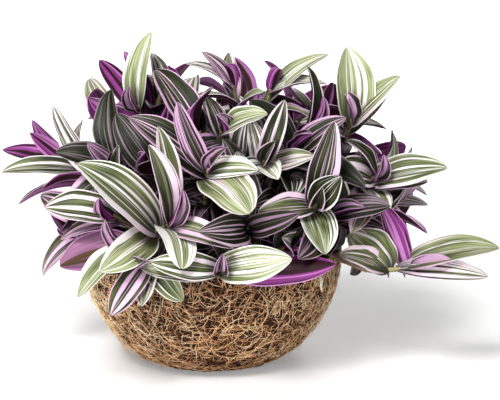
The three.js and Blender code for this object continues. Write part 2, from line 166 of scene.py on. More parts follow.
def map_values(tree, title):
    """The two values that a UV map holds."""
    uv = wire(tree, "ShaderNodeUVMap", {}, uv_map=title).outputs["UV"]
    return list(wire(tree, "ShaderNodeSeparateXYZ", {0: uv}).outputs)[:2]


def ramp(tree, factor, stops):
    """A colour ramp from (place, colour) stops."""
    made = wire(tree, "ShaderNodeValToRGB", {0: factor})
    elements = made.color_ramp.elements
    for end in (0, -1):
        elements[end].position, elements[end].color = stops[end][0], (*stops[end][1], 1)
    for place, colour in stops[1:-1]:
        elements.new(place).color = (*colour, 1)
    return made.outputs["Color"]


def new_material(name, roughness, specular):
    material = bpy.data.materials.new(name)
    material.use_nodes = True
    shader = material.node_tree.nodes["Principled BSDF"]
    shader.inputs["Roughness"].default_value = roughness
    shader.inputs["Specular IOR Level"].default_value = specular
    return material, material.node_tree, shader


def emboss(tree, shader, height, strength, distance):
    bump = wire(tree, "ShaderNodeBump", {"Height": height, "Strength": strength, "Distance": distance})
    tree.links.new(bump.outputs["Normal"], shader.inputs["Normal"])


def crumbly_material(name, roughness, specular, stops, strength, distance, **noise):
    """A matt one, mottled and roughened by the same fine noise."""
    material, tree, shader = new_material(name, roughness, specular)
    place = wire(tree, "ShaderNodeTexCoord", {}).outputs["Object"]
    grain = wire(tree, "ShaderNodeTexNoise", {"Vector": place, **noise}).outputs["Fac"]
    tree.links.new(ramp(tree, grain, stops), shader.inputs["Base Color"])
    emboss(tree, shader, grain, strength, distance)
    return material


# The felt's near-black browns are painted shade, deep in the gaps between the fibres.
FELT_SHADE_STOPS = [(0.3, (0.008, 0.005, 0.005)), (0.7, (0.045, 0.024, 0.015))]
FIBRE_STOPS = [
    (0.0, (0.016, 0.007, 0.006)), (0.25, (0.15, 0.058, 0.030)), (0.55, (0.71, 0.36, 0.165)),
    (0.8, (0.98, 0.63, 0.33)), (1.0, (0.98, 0.82, 0.56)),
]
MOTTLE = 0.16  # how much a fibre's tone changes along it

felt = crumbly_material("coir felt", 0.95, 0.15, FELT_SHADE_STOPS, 0.9, 0.0012, Scale=260, Detail=6)
fibre, tree, shader = new_material("coir fibre", 0.72, 0.15)
tone, along = map_values(tree, "strand")
spot = wire(tree, "ShaderNodeCombineXYZ", {"X": tone, "Y": along}).outputs[0]
mottle = wire(tree, "ShaderNodeTexNoise", {"Vector": spot, "Scale": 14, "Detail": 3}).outputs["Fac"]
shade = calc(tree, "ADD", tone, rescaled(tree, mottle, 0, 1, -MOTTLE, MOTTLE), clamp=True)
tree.links.new(ramp(tree, shade, FIBRE_STOPS), shader.inputs["Base Color"])

section = bowl_section(FELT_DEPTH)
rings = len(section)
bearings = np.linspace(0, math.tau, AROUND, endpoint=False)
wall_points = round_axis(section[:, None, 0], bearings, section[:, None, 1])
uneven = unevenness(wall_points, *BULGES) + unevenness(wall_points, *LUMPS)
wall_points = pushed_out(wall_points, uneven)
centres = np.array([[0, 0, FELT_DEPTH * SOLE_SHARE], [0, 0, BOWL["floor"]]])
ring_index = np.arange(rings * AROUND).reshape(rings, AROUND)
wall_quads = np.concatenate([
    skin_between(ring_index[:-1], ring_index[1:]),
    disc(ring_index[0], rings * AROUND, True), disc(ring_index[-1], rings * AROUND + 1, False),
])
wall_points = np.concatenate([wall_points.reshape(-1, 3), centres])
bowl_felt = new_piece("bowl_felt", wall_points, wall_quads, {}, [felt])
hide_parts("coir_bowl")

STRAND_SIDES = 4
STRAND_TIP = 0.35  # thickness of a fibre's ends as a share of its middle
STRAND_MAP_WIDTH = 0.004  # half a strand's width on its map
SQUARE = np.array([[-1, -1], [1, -1], [1, 1], [-1, 1]])


def unit_rows(vectors):
    return vectors / (np.linalg.norm(vectors, axis=-1, keepdims=True) + 1e-12)


def rings_round(paths, radii, sides, sideways):
    """Rings of points round each point of paths; sideways is any way that no path takes."""
    ahead = unit_rows(np.gradient(paths, axis=-2))
    first = unit_rows(np.cross(ahead, sideways))
    second = np.cross(ahead, first)
    turn = np.arange(sides) * math.tau / sides
    ring = np.cos(turn)[:, None] * first[..., None, :] + np.sin(turn)[:, None] * second[..., None, :]
    return paths[..., None, :] + radii[..., None, None] * ring


def strand_piece(name, paths, radii, tones):
    """Thin tubes along paths (strands x points x 3), each with a radius and a tone from dark to pale."""
    count, steps, _ = paths.shape
    taper = STRAND_TIP + (1 - STRAND_TIP) * np.sin(np.linspace(0.1, math.pi - 0.1, steps)) ** 0.6
    points = rings_round(paths, radii[:, None] * taper, STRAND_SIDES, [0.36, 0.48, 0.8])
    index = np.arange(count * steps * STRAND_SIDES).reshape(count, steps, STRAND_SIDES)
    quads = np.concatenate([skin_between(index[:, :-1], index[:, 1:]), index[:, 0, ::-1], index[:, -1]])
    share = np.linspace(0.02, 0.98, steps)
    thin_square = SQUARE * STRAND_MAP_WIDTH
    across = tones[:, None, None, None] + thin_square[:, 0]
    upward = np.where(SQUARE[:, 1] < 0, share[:-1, None, None], share[1:, None, None])
    shape = (count, steps - 1, STRAND_SIDES, 4)
    sides = np.stack([np.broadcast_to(values, shape) for values in (across, upward)], -1)
    places = [sides.reshape(-1, 4, 2)]
    for end in (0, -1):
        places.append(np.stack([tones, np.full(count, share[end])], -1)[:, None] + thin_square)
    places = np.clip(np.concatenate(places), 0, 1)
    piece = new_piece(name, points.reshape(-1, 3), quads, {"strand": places, "OFBake": places}, [fibre])


def distance_along(points):
    return np.concatenate([[0], np.cumsum(np.linalg.norm(np.diff(points, axis=0), axis=1))])


route = np.concatenate([[[6, 0.6]], bowl_section(0)])  # from near the middle of the base
steps_along = distance_along(route)
route_normals = np.gradient(route, axis=0)
route_normals = np.stack([route_normals[:, 1], -route_normals[:, 0]], -1)
route_normals /= np.linalg.norm(route_normals, axis=1, keepdims=True)
skin = np.hstack([route, route_normals])
up_outside = slice(WALL_STEPS + 1)
RIM = np.interp(BOWL["height"], route[up_outside, 1], steps_along[up_outside])  # its distance along
WANDER_FROM, WANDER_TO = 2, steps_along[-1] * 0.82  # how far fibres may go along it
FIBRE_GROUND = 0.5  # the height of the lowest


def lie_on_bowl(distance, bearing, lift):
    """Points on the bowl's skin at a distance along its section and a bearing, lifted off it."""
    radius, height, out, rise = (np.interp(distance, steps_along, column) for column in skin.T)
    points = round_axis(radius + out * lift, bearing, height + rise * lift)
    points = pushed_out(points, unevenness(points, *BULGES))
    points[..., 2] = np.maximum(points[..., 2], FIBRE_GROUND)
    return points


def wander(rng, count, steps, length, start, stop, curl, lift, loft):
    """Fibres that wander over the bowl: start at random, curve as they go, and lie or arch over it."""
    distance = rng.uniform(start, stop, count)
    bearing, heading = rng.uniform(0, math.tau, (2, count))
    bend = rng.normal(0, curl, count)
    change = rng.normal(0, curl / 3, count)
    stride = rng.uniform(*length, count) / (steps - 1)
    base_lift = rng.uniform(*lift, count)
    arch = rng.exponential(loft, count)
    paths = []
    for k in range(steps):
        share = k / (steps - 1)
        paths.append(lie_on_bowl(distance, bearing, base_lift + arch * math.sin(math.pi * share)))
        radius = np.maximum(np.interp(distance, steps_along, route[:, 0]), 6)
        bearing = bearing + stride * np.cos(heading) / radius
        distance = np.clip(distance + stride * np.sin(heading), WANDER_FROM, WANDER_TO)
        heading = heading + (bend + change * k) * stride
    return np.stack(paths, axis=1)


# Of these shifts, sides is painted light on the bowl's flanks, and foot is painted shade low on the bowl,
# where it curves under.
TONE = {"all": -0.06, "upward": 0.10, "right": -0.08, "sides": 0.36, "foot": -0.58, "patches": 0.11}
MIDDLE_HEIGHT, FOOT_SHADE_HEIGHT, PATCH_SIZE = 0.45, 11, 38
DARK_SHARE, DARKENED = 0.23, 0.2  # how many fibres are dark, and how much of their tone is left


def tones_by_place(rng, paths, mean, scatter):
    """Darkest low on the bowl (painted shade), paler at its sides (painted light), patchy, with single dark
    ones.
    """
    middle = paths[:, paths.shape[1] // 2]
    height = np.clip(middle[:, 2] / BOWL["height"], 0, 1) - MIDDLE_HEIGHT
    sideways = middle[:, 0] / BOWL["rim"]
    tone = mean + TONE["all"] + TONE["upward"] * height + TONE["right"] * sideways
    tone += TONE["sides"] * sideways ** 2 + TONE["foot"] * np.exp(-middle[:, 2] / FOOT_SHADE_HEIGHT)
    tone += TONE["patches"] * smooth_noise(middle, PATCH_SIZE, 9) + rng.normal(0, scatter, len(middle))
    tone = np.where(rng.random(len(middle)) < DARK_SHARE, tone * DARKENED, tone)
    return np.clip(tone, 0.03, 0.97)


rng = np.random.default_rng(21)
# The deeper a mat lies, the darker its tone: painted shade down between the fibres.
MATS = {  # name: count, points, length, first and last distance, curl, lift, loft, radius, tone, scatter
    "under": (5000, 5, (8, 20), 4, RIM + 6, 0.012, (-1.3, -0.5), 0.2, (0.24, 0.40), 0.24, 0.12),
    "middle": (5400, 5, (6, 17), 8, RIM + 8, 0.012, (-0.8, 0.1), 0.3, (0.19, 0.34), 0.52, 0.18),
    "over": (5400, 5, (4, 13), 8, RIM + 12, 0.016, (-0.4, 0.4), 0.3, (0.16, 0.30), 0.68, 0.23),
    "top": (5400, 5, (4, 12), 8, RIM + 12, 0.016, (0.0, 0.7), 0.3, (0.14, 0.25), 0.86, 0.22),
    "long": (140, 18, (25, 70), 66, RIM + 2, 0.020, (0.5, 1.0), 0.6, (0.16, 0.27), 0.94, 0.05),
}
for name, (count, *course, radius, mean, scatter) in MATS.items():
    paths = wander(rng, count, *course)
    tones = tones_by_place(rng, paths, mean, scatter)
    strand_piece("fibres_" + name, paths, rng.uniform(*radius, count), tones)

# Ends pulled loose: rooted in the mat, they stand off it and bend over.
STRAYS, STRAY_POINTS, LOWEST, LONGEST, STAND_OFF = 90, 8, 45, 17, 8.5
root_distance = rng.uniform(LOWEST, RIM, STRAYS)
root_bearing = rng.uniform(0, math.tau, STRAYS)
reach = rng.uniform(5, LONGEST, STRAYS)
lean = rng.normal(0, 0.16, STRAYS)  # sideways, in radians round the bowl
stray_paths = []
for share in np.linspace(0, 1, STRAY_POINTS):
    off = -1 + STAND_OFF * share ** 1.2 * reach / LONGEST
    stray_paths.append(lie_on_bowl(root_distance - reach * share ** 1.3, root_bearing + lean * share, off))
stray_radii, stray_tones = rng.uniform(0.13, 0.24, STRAYS), rng.uniform(0.55, 0.95, STRAYS)
strand_piece("fibres_stray", np.stack(stray_paths, axis=1), stray_radii, stray_tones)

# ---- The soil ------------------------------------------------------------------------------------
# Dark peat that fills the bowl to a little under its rim, mounded towards the middle. Its top is a
# layer of loose crumbs and bark chips, seen only down between the stems.
SOIL = {"edge": 76, "middle": 82, "radius": 94}
CRUMBS, CRUMB_SIZE, LEAST_CRUMB, CRUMB_RISE = 1500, 0.75, 0.5, 0.25
CRUMB_SHAPE = [1, 0.85, 0.6]
SPREAD = 0.94  # of the soil's surface
PEAT_STOPS = [(0.35, (0.008, 0.005, 0.0035)), (0.72, (0.07, 0.042, 0.026))]

peat = crumbly_material("peat", 0.97, 0.12, PEAT_STOPS, 1.0, 0.0015, Scale=420, Detail=7, Roughness=0.7)
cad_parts["soil"].data.materials.clear()
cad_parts["soil"].data.materials.append(peat)

rng = np.random.default_rng(8)
CUBE = np.array([[x, y, z] for z in (-1, 1) for y in (-1, 1) for x in (-1, 1)], float)
CUBE_QUADS = np.array([[0, 2, 3, 1], [4, 5, 7, 6], [0, 1, 5, 4], [2, 6, 7, 3], [0, 4, 6, 2], [1, 3, 7, 5]])
spread = SOIL["radius"] * np.sqrt(rng.uniform(0, SPREAD, CRUMBS))
bearing = rng.uniform(0, math.tau, CRUMBS)
mound = SOIL["middle"] - (SOIL["middle"] - SOIL["edge"]) * (spread / SOIL["radius"]) ** 2
size = rng.exponential(CRUMB_SIZE, CRUMBS) + LEAST_CRUMB
lumpy = CUBE[None] * rng.uniform(0.55, 1.1, (CRUMBS, 8, 1)) * size[:, None, None] * CRUMB_SHAPE
cosine, sine = np.cos(bearing * 5)[:, None], np.sin(bearing * 5)[:, None]  # each turned its own way
x, y, z = lumpy[..., 0], lumpy[..., 1], lumpy[..., 2]
turned = np.stack([x * cosine - y * sine, x * sine + y * cosine, z], axis=-1)
crumb_points = turned + round_axis(spread, bearing, mound + size * CRUMB_RISE)[:, None]
crumb_quads = (CUBE_QUADS[None] + 8 * np.arange(CRUMBS)[:, None, None]).reshape(-1, 4)
new_piece("soil_crumbs", crumb_points.reshape(-1, 3), crumb_quads, {}, [peat])

# ---- The leafy stems -----------------------------------------------------------------------------
# Fleshy stems rooted in the soil. Each curves out over the rim and carries a rosette of leaves, set
# one above the other round it, with a rolled young leaf at its tip. Their places follow the solids.
STEM = {"radius": 2.6, "foot": 61, "ground": 82, "lead": 0.9}  # millimetres
NODE = {"first": 5, "step": 5, "end": 5}  # leaf bases below the stem's tip, and the spare below them
BLADE = {"bow": 0.11, "fold": 24, "clasp": 40, "clasp_end": 0.35}
BUD = {"width": 11, "fold": 58, "bow": 0.08, "down": 3}
# How the solids' leaves may be shortened and turned (lift and sideways, in degrees), in the order
# tried, and how steeply their stems may rise. Each leaf and stem is matched with its solid.
STRETCHES = [1, 0.88, 0.76, 0.64, 0.52]
SWINGS = [
    (0, 0), (0, 8), (0, -8), (8, 0), (-8, 0), (0, 17), (0, -17), (17, 0), (-17, 0),
    (0, 28), (0, -28), (28, 0), (14, 24), (14, -24),
]
RISES = [1, 1.5, 0.6, 2, 2.6]
TIP_MATCH = 0.04  # millimetres

# The shoots seen from the front. A leaf: its tip from the stem's tip, its width, its roll in
# degrees, its look, and its arch where that is strong. The look names a colouring given below. The
# young leaf is given by its tip, and its roll where it shows its inside.
FRONT_SHOOTS = [
    ("front_left", (-27, -124, 141), (0.5, -0.7, 0.45), (8, -6, 27), "rolled", [
        (-16, -6, 60, 21, 0, "pink half"), (-7, 6, 71, 21, 0, "pink edges"),
        (46, -14, -16, 22, 0, "pink middle"), (8, -28, -28, 30, 0, "cream spoon", 0.24),
        (-69, -8, 46, 36, 0, "white half"), (-53, -16, -33, 27, 0, "pale green")]),
    ("front_middle", (0, -106, 179), (0.1, -0.75, 0.65), (14, -8, 17), "rolled", [
        (-23, 0, 50, 18, -35, "dark"), (37, -10, 0, 20, 0, "cream"), (-60, 8, 37, 28, 0, "dark lined"),
        (31, -30, -28, 36, 0, "sage", 0.24), (-22, 4, 7, 13, 0, "olive")]),
    ("centre", (42, -98, 184), (0.1, -0.8, 0.6), (8, -10, 16), "rolled dark", [
        (15, -4, 46, 17, 0, "olive"), (-18, -16, -5, 16, 0, "cream"), (10, -22, -11, 19, 0, "cream"),
        (38, 4, 2, 17, 0, "lined"), (-11, 10, 30, 16, 0, "banded")]),
    ("front_right", (81, -105, 152), (0.15, -0.85, 0.5), (4, -9, 14), "rolled dark", [
        (18, -8, 22, 23, 0, "deep green"), (-44, -8, -5, 21, 0, "edged"),
        (13, 0, 62, 23, 0, "dark pink edge"), (6, -16, -36, 28, 0, "green lined")]),
    ("right", (130, -58, 164), (0.35, -0.75, 0.55), (4, -8, 18), "rolled", [
        (-25, -4, 28, 20, 30, "olive"), (-35, -10, 7, 25, 0, "banded"), (55, 0, 6, 27, 0, "white foot"),
        (41, 10, -7, 20, 0, "rose"), (8, -10, -28, 21, 0, "cream"), (28, 16, 20, 15, 80, "olive"),
        (-22, -36, -38, 24, 0, "pink half")]),
    ("top_right", (112, -35, 205), (0.2, -0.65, 0.75), (-8, -4, 23), "rolled", [
        (-5, 6, 56, 34, 0, "mint"), (37, 0, 34, 22, 0, "pale edged"), (-24, -12, 13, 15, 60, "dark"),
        (35, 20, 28, 20, 0, "mint"), (-42, -14, -1, 17, 0, "lined")]),
    ("front_low", (9, -130, 107), (0.1, -0.9, 0.25), (2, -8, 14), "rolled", [
        (-51, -10, 8, 21, 0, "pale stripes"), (53, -8, 10, 28, 0, "white bands"), (-60, 4, 5, 20, 0, "plain"),
        (86, 8, 2, 24, 170, "dark violet edge")]),
    ("left_low", (-65, -112, 121), (-0.5, -0.75, 0.2), (-12, -4, 21), "rolled", [
        (-34, -6, -39, 20, 0, "pale green"), (-32, 0, -30, 15, 0, "rose"),
        (-48, 4, -17, 31, 150, "dry brown")]),
    ("front_left_low", (-46, -122, 111), (-0.1, -0.95, 0.2), (-2, -14, 14), "rolled", [
        (-27, -10, -39, 21, 0, "rose"), (27, -6, -29, 20, 0, "plain"), (-4, -14, -28, 18, 0, "edged")]),
    ("left", (-73, -98, 141), (-0.6, -0.5, 0.5), (-9, -8, 15), "rolled", [
        (-51, 0, 6, 27, 0, "pink stripes"), (-53, 16, 5, 17, 0, "dark lined"), (-40, 0, -19, 16, 0, "rose"),
        (-14, 20, 20, 16, 0, "olive"), (0, 14, 52, 20, 0, "dark pink edge")]),
    ("far_left", (-111, -30, 168), (-0.75, 0.25, 0.45), (-18, 4, 12), "rolled", [
        (-55, 0, 11, 16, 40, "rose"), (-55, -6, -6, 18, -75, "lined"), (-30, -4, 36, 17, 0, "banded"),
        (-31, -12, 27, 15, 0, "rose"), (-22, -14, -18, 15, 0, "olive"), (-16, 20, 44, 18, 70, "banded")]),
    ("top_left", (-58, -25, 214), (-0.3, -0.5, 0.75), (-6, -10, 17), "rolled", [
        (11, 4, 58, 25, 0, "pale sage"), (-31, 10, 35, 19, 160, "rose"), (-38, -6, 7, 16, 160, "banded"),
        (25, -12, 9, 24, 175, "dark lined"), (-12, 20, 41, 18, 160, "banded")]),
    ("top_middle", (17, -25, 230), (-0.2, -0.2, 0.9), (-6, -8, 17), "rolled", [
        (-37, 0, 17, 17, 0, "lined"), (-23, 10, 27, 15, 0, "rose"), (-3, 20, 24, 14, 0, "pink half"),
        (-30, -14, -8, 18, 0, "green lined"), (25, -8, -4, 17, 0, "mint")]),
    ("top_middle_right", (48, -19, 226), (0.3, -0.2, 0.9), (6, -6, 17), "rolled", [
        (44, 0, 4, 19, 0, "mint"), (6, 8, 26, 14, 0, "rose"), (48, 20, 22, 19, 0, "mint"),
        (37, -16, -25, 17, 0, "pink half")]),
    ("upper_middle", (10, -80, 203), (0.2, -0.6, 0.7), (-5, -9, 14), "rolled", [
        (40, -6, 6, 22, 0, "pale sage"), (-13, 4, 26, 15, 0, "olive"), (-22, -10, -14, 17, 0, "dark")]),
    ("top_left_behind", (-38, -16, 228), (0.3, -0.2, 0.9), (4, -6, 17), "rolled", [
        (47, -38, -34, 28, 0, "deep green", 0.22), (-4, 10, 28, 17, 0, "banded")]),
    ("right_low", (140, -20, 138), (0.5, -0.3, 0.3), (16, -6, 8), "rolled", [
        (14, -4, -30, 14, 0, "olive"), (22, 4, -29, 14, 0, "rose"), (36, 10, -8, 13, 0, "banded"),
        (30, 2, 18, 18, 0, "pink half")]),
    ("trailing_right", (160, -72, 93), (0.95, -0.15, 0.1), (28, -12, 8, 180), "rolled pink", [
        (-36, -14, 50, 17, 90, "violet back"), (66, 4, 15, 26, -80, "sage lined"),
        (56, -8, 0, 19, 50, "pink stripes"), (-52, 8, 26, 33, -60, "sage lined"),
        (-62, -10, 12, 22, 0, "edged")]),
]

# The shoots that fill the rest of the dome: their stems' tips, one by one or on rings.
INNER_TIPS = [
    (72, -72, 186), (30, -100, 134), (100, -84, 132), (-82, -72, 176), (-14, -70, 200),
    (76, -50, 208), (-44, -84, 176), (124, -46, 130), (16, -64, 158), (62, -74, 152),
    (4, -84, 126), (62, -94, 120), (-82, -74, 134),
]
DOME = {"x": 8, "z": 96, "wide": 136, "deep": 122, "tall": 118}
RINGS = [
    {"x": 12, "z": 110, "wide": 112, "deep": 118, "from": 4, "to": 186, "count": 8},
    {"x": 16, "z": 146, "wide": 116, "deep": 113, "from": -2, "to": 180, "count": 7},
    {"x": 8, "z": 187, "wide": 88, "deep": 79, "from": 8, "to": 172, "count": 5},
    {"x": 8, "z": 210, "wide": 38, "deep": 34, "from": 50, "to": 170, "count": 2},
]
RULE = {
    "seed": 11, "scatter": 6, "tilt": 0.16, "droop": 0.16, "turn": 148, "turn_spread": 22,
    "lean": [40, 58, 73, 86, 98], "length": [48, 59, 63, 61, 56], "width": [21, 26, 29, 28, 25],
    "spread": 0.12, "front": -60,
}
OUTER_LOOKS = [
    "banded", "rose", "olive", "edged", "pink half", "lined", "white half", "pale sage", "cream",
    "green lined", "sage", "pink stripes", "pale green", "dark pink edge", "mint",
]
# Inner shoots take dark looks; the shaded ones among them are painted shade deep in the dome.
INNER_LOOKS = [
    "shaded green", "dark", "shaded lined", "deep green", "shaded rose", "dark lined", "shaded green",
    "olive",
]
UP = np.array([0.0, 0.0, 1.0])
SIDEWAYS = [0.3, -0.2, 0.1]  # to find a way square to another


def unit(vector):
    return np.asarray(vector, float) / np.linalg.norm(vector)


def repeatable_random(seed):
    """The same run of numbers from 0 to 1 that places the solids."""
    state, multiplier, modulus = seed, 16807, 2147483647
    while True:
        state = state * multiplier % modulus
        yield state / modulus


def turned_about(vector, axis, degrees):
    angle = math.radians(degrees)
    level = axis * np.dot(axis, vector)
    return level + (vector - level) * math.cos(angle) + np.cross(axis, vector) * math.sin(angle)


def leant_way(axis, first, second, lean, turn):
    """A way that leans from an axis, turned round it; the angles are in radians."""
    return axis * math.cos(lean) + (first * math.cos(turn) + second * math.sin(turn)) * math.sin(lean)


def shoot_by_rule(name, tip, draws, looks, kinds):
    """A rosette that stands square to the dome, its leaves turning round it from young to old."""
    def wobble():
        return 2 * next(draws) - 1

    place = [math.floor(value + RULE["scatter"] * wobble() + 0.5) for value in tip]
    out = unit([
        (place[0] - DOME["x"]) / DOME["wide"], place[1] / DOME["deep"], (place[2] - DOME["z"]) / DOME["tall"],
    ])
    out = unit(out + np.array([wobble(), wobble(), wobble()]) * RULE["tilt"])
    first = unit(np.cross(out, UP))
    second = np.cross(out, first)
    leaves = []
    bearing = 360 * next(draws)
    for lean, length, width in zip(RULE["lean"], RULE["length"], RULE["width"]):
        lean, turn = math.radians(lean), math.radians(bearing)
        way = leant_way(out, first, second, lean, turn)
        way[2] -= RULE["droop"] * math.sin(lean)
        way = unit(way) * length * (1 + RULE["spread"] * wobble())
        width *= 1 + RULE["spread"] * wobble()
        look = kinds[looks.integers(len(kinds))]
        hides_bowl = place[1] + way[1] < RULE["front"] and place[2] + way[2] < BOWL["height"]
        if not hides_bowl:
            leaves.append((*way, width, 0, look))
        bearing += RULE["turn"] + RULE["turn_spread"] * wobble()
    return name, place, out, out, "rolled", leaves


draws = repeatable_random(RULE["seed"])
looks = np.random.default_rng(5)
all_shoots = list(FRONT_SHOOTS)
for count, tip in enumerate(INNER_TIPS):
    all_shoots.append(shoot_by_rule(f"inner_{count + 1}", tip, draws, looks, INNER_LOOKS))
for level, ring in enumerate(RINGS):
    for count in range(ring["count"]):
        bearing = math.radians(ring["from"] + (ring["to"] - ring["from"]) * count / (ring["count"] - 1))
        tip = [ring["x"] + ring["wide"] * math.cos(bearing), ring["deep"] * math.sin(bearing), ring["z"]]
        all_shoots.append(shoot_by_rule(f"ring_{level + 1}_{count + 1}", tip, draws, looks, OUTER_LOOKS))


def corners_of(node):
    """The corners of a solid, in millimetres."""
    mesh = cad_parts[node].data
    corners = np.empty(len(mesh.vertices) * 3)
    mesh.vertices.foreach_get("co", corners)
    return corners.reshape(-1, 3) / MM


def cubic(points, shares):
    a, b, c, d = points
    t = np.asarray(shares)[:, None]
    return a * (1 - t) ** 3 + 3 * b * t * (1 - t) ** 2 + 3 * c * t ** 2 * (1 - t) + d * t ** 3


def stem_route(tip, aim, leaf_count, corners):
    """The four points of the curve between soil and leafy end, as the solid's own corners show it."""
    feet = corners[corners[:, 2] < STEM["foot"] + 0.05]
    foot = np.array([*feet[:, :2].mean(axis=0), STEM["ground"]])
    neck = tip - aim * (NODE["first"] + NODE["step"] * (leaf_count - 1) + NODE["end"])
    span = np.linalg.norm(neck - foot) * STEM["lead"]
    best = None
    for rise in RISES:
        route = [foot, foot + UP * span * rise / 3, neck - aim * span / 3, neck]
        third = cubic(route, [1 / 3])[0]
        ring = np.sort(np.linalg.norm(corners - third, axis=1))[:4]
        miss = np.abs(ring - STEM["radius"]).max()
        if best is None or miss < best[0]:
            best = (miss, route)
    return best[1]


def leaf_frame(tip, aim, leaf, swing, stretch):
    """Base, chord and the way the leaf's upper side faces, bent clear of its neighbours."""
    base = tip - aim * leaf["down"]
    chord = tip + leaf["to"] - base
    along, across = unit(chord), unit(np.cross(aim, chord))
    face = turned_about(unit(aim - along * np.dot(aim, along)), along, leaf["roll"])
    chord, face = (turned_about(turned_about(way, across, -swing[0]), aim, swing[1]) for way in (chord, face))
    return {"base": base, "chord": chord * stretch, "face": face}


plants = []
for name, tip, aim, bud, bud_look, rows in all_shoots:
    tip, aim = np.array(tip, float), unit(aim)
    corners = corners_of("stem_" + name)
    near = KDTree(len(corners))
    for count, corner in enumerate(corners):
        near.insert(corner, count)
    near.balance()
    bud_roll = bud[3] if len(bud) > 3 else 0
    wanted = [{**BUD, "to": np.array(bud[:3], float), "roll": bud_roll, "look": bud_look}]
    for count, row in enumerate(rows):
        wanted.append({
            "to": np.array(row[:3], float), "width": row[3], "roll": row[4], "look": row[5],
            "fold": BLADE["fold"], "bow": row[6] if len(row) > 6 else BLADE["bow"],
            "down": NODE["first"] + NODE["step"] * count,
        })
    grown = []
    for leaf in wanted:
        for swing, stretch in [(swing, stretch) for stretch in STRETCHES for swing in SWINGS]:
            placed = leaf_frame(tip, aim, leaf, swing, stretch)
            _, _, miss = near.find(placed["base"] + placed["chord"])
            if miss < TIP_MATCH:
                grown.append({**leaf, "swing": swing, "stretch": stretch})
                break
    route = stem_route(tip, aim, len(rows), corners)
    plants.append({"name": name, "tip": tip, "aim": aim, "route": route, "leaves": grown})

# ---- The stalks ----------------------------------------------------------------------------------
# Round, juicy, yellow-green stalks, flushed and streaked purple where the light reaches them. Each
# old leaf leaves a thin sheath that ends in a ring, so the stalk steps in a little above every node.
STALK_SIDES, STALK_STEPS = 10, 40
# The sheaths: how far apart their rings are, how far they stand out, and how thin the stalk is between.
SHEATH = {"apart": 19, "swell": 0.55, "ring": 0.25, "thin": 0.35}
NECK = {"length": 9, "thin": 0.55, "points": [[4], [1.2], [0.2]]}  # the stalk's leafy end
BROWNED = {"most": 0.7, "at_ground": 0.75, "fades_over": 45}
STALK_MAP_LENGTH = 40  # millimetres of stalk to one unit of its map


def new_group(name, inputs):
    """A node group with its inputs and their defaults, and one mask to put out."""
    group = bpy.data.node_groups.new(name, "ShaderNodeTree")
    for title, value in inputs.items():
        socket = group.interface.new_socket(title, in_out="INPUT", socket_type="NodeSocketFloat")
        socket.default_value = value
    group.interface.new_socket("Mask", in_out="OUTPUT", socket_type="NodeSocketFloat")
    return group, wire(group, "NodeGroupInput", {}).outputs, wire(group, "NodeGroupOutput", {}).inputs


def scaled(tree, value, factor, plus, clamp=False):
    """A value times a factor, plus another."""
    return calc(tree, "MULTIPLY_ADD", value, factor, plus, clamp=clamp)


# Streaks that run along a leaf or stalk: a noise drawn out lengthwise and cut off at a threshold.
streaks, given, put_out = new_group("streaks", {
    "Across": 0, "Along": 0, "Seed": 0, "Bands": 3, "Share": 0.5, "Edge": 0.03, "Run": 0.8,
})
spot = wire(streaks, "ShaderNodeCombineXYZ", {
    "X": scaled(streaks, given["Seed"], 37.7, calc(streaks, "MULTIPLY", given["Across"], given["Bands"])),
    "Y": calc(streaks, "MULTIPLY", given["Along"], given["Run"]),
    "Z": calc(streaks, "MULTIPLY", given["Seed"], 91.3),
}).outputs[0]
noise = {"Vector": spot, "Scale": 1.0, "Detail": 1.0, "Roughness": 0.35}
drawn_out = wire(streaks, "ShaderNodeTexNoise", noise).outputs["Fac"]
threshold = scaled(streaks, given["Share"], -0.5, 0.75)
low, high = (calc(streaks, way, threshold, given["Edge"]) for way in ("SUBTRACT", "ADD"))
streaks.links.new(rescaled(streaks, drawn_out, low, high, kind="SMOOTHSTEP"), put_out["Mask"])


def streak_mask(tree, across, along, seed, **values):
    inputs = {"Across": across, "Along": along, "Seed": seed, **values}
    return wire(tree, "ShaderNodeGroup", inputs, node_tree=streaks).outputs["Mask"]


def mixed(tree, factor, first, second):
    """A colour mix; a colour may be a tuple or a socket."""
    first, second = ((*value, 1) if isinstance(value, tuple) else value for value in (first, second))
    return wire(tree, "ShaderNodeMix", {0: factor, 6: first, 7: second}, data_type="RGBA").outputs[2]


STALK_GREEN, STALK_YELLOW, STALK_PURPLE = (0.12, 0.17, 0.04), (0.30, 0.33, 0.10), (0.20, 0.05, 0.13)
SHEATH_BROWN = (0.33, 0.22, 0.11)
stalk_flesh, tree, shader = new_material("stalk", 0.42, 0.45)
around, along = map_values(tree, "stalk")
brown, seed = map_values(tree, "sheath")
pale_streaks = streak_mask(tree, around, along, seed, Bands=9, Share=0.45, Edge=0.1)
purple_streaks = streak_mask(tree, around, along, seed, Bands=15, Share=0.38, Edge=0.05, Run=2)
colour = mixed(tree, purple_streaks, mixed(tree, pale_streaks, STALK_GREEN, STALK_YELLOW), STALK_PURPLE)
tree.links.new(mixed(tree, brown, colour, SHEATH_BROWN), shader.inputs["Base Color"])
ribs = streak_mask(tree, around, along, seed, Bands=24, Share=0.5, Edge=0.2, Run=0.5)
emboss(tree, shader, ribs, 0.5, 0.0003)


def closed_tube(path, radius, sides, sideways):
    """Points and faces of one tube along a path, its ends closed."""
    index = np.arange(len(path) * sides).reshape(-1, sides)
    quads = [skin_between(index[:-1], index[1:])]
    for ring in (index[0][::-1], index[-1]):
        quads.append([[ring[k], ring[k + 1], ring[-2 - k], ring[-1 - k]] for k in range(sides // 2 - 1)])
    return rings_round(path, radius, sides, sideways).reshape(-1, 3), np.concatenate(quads)


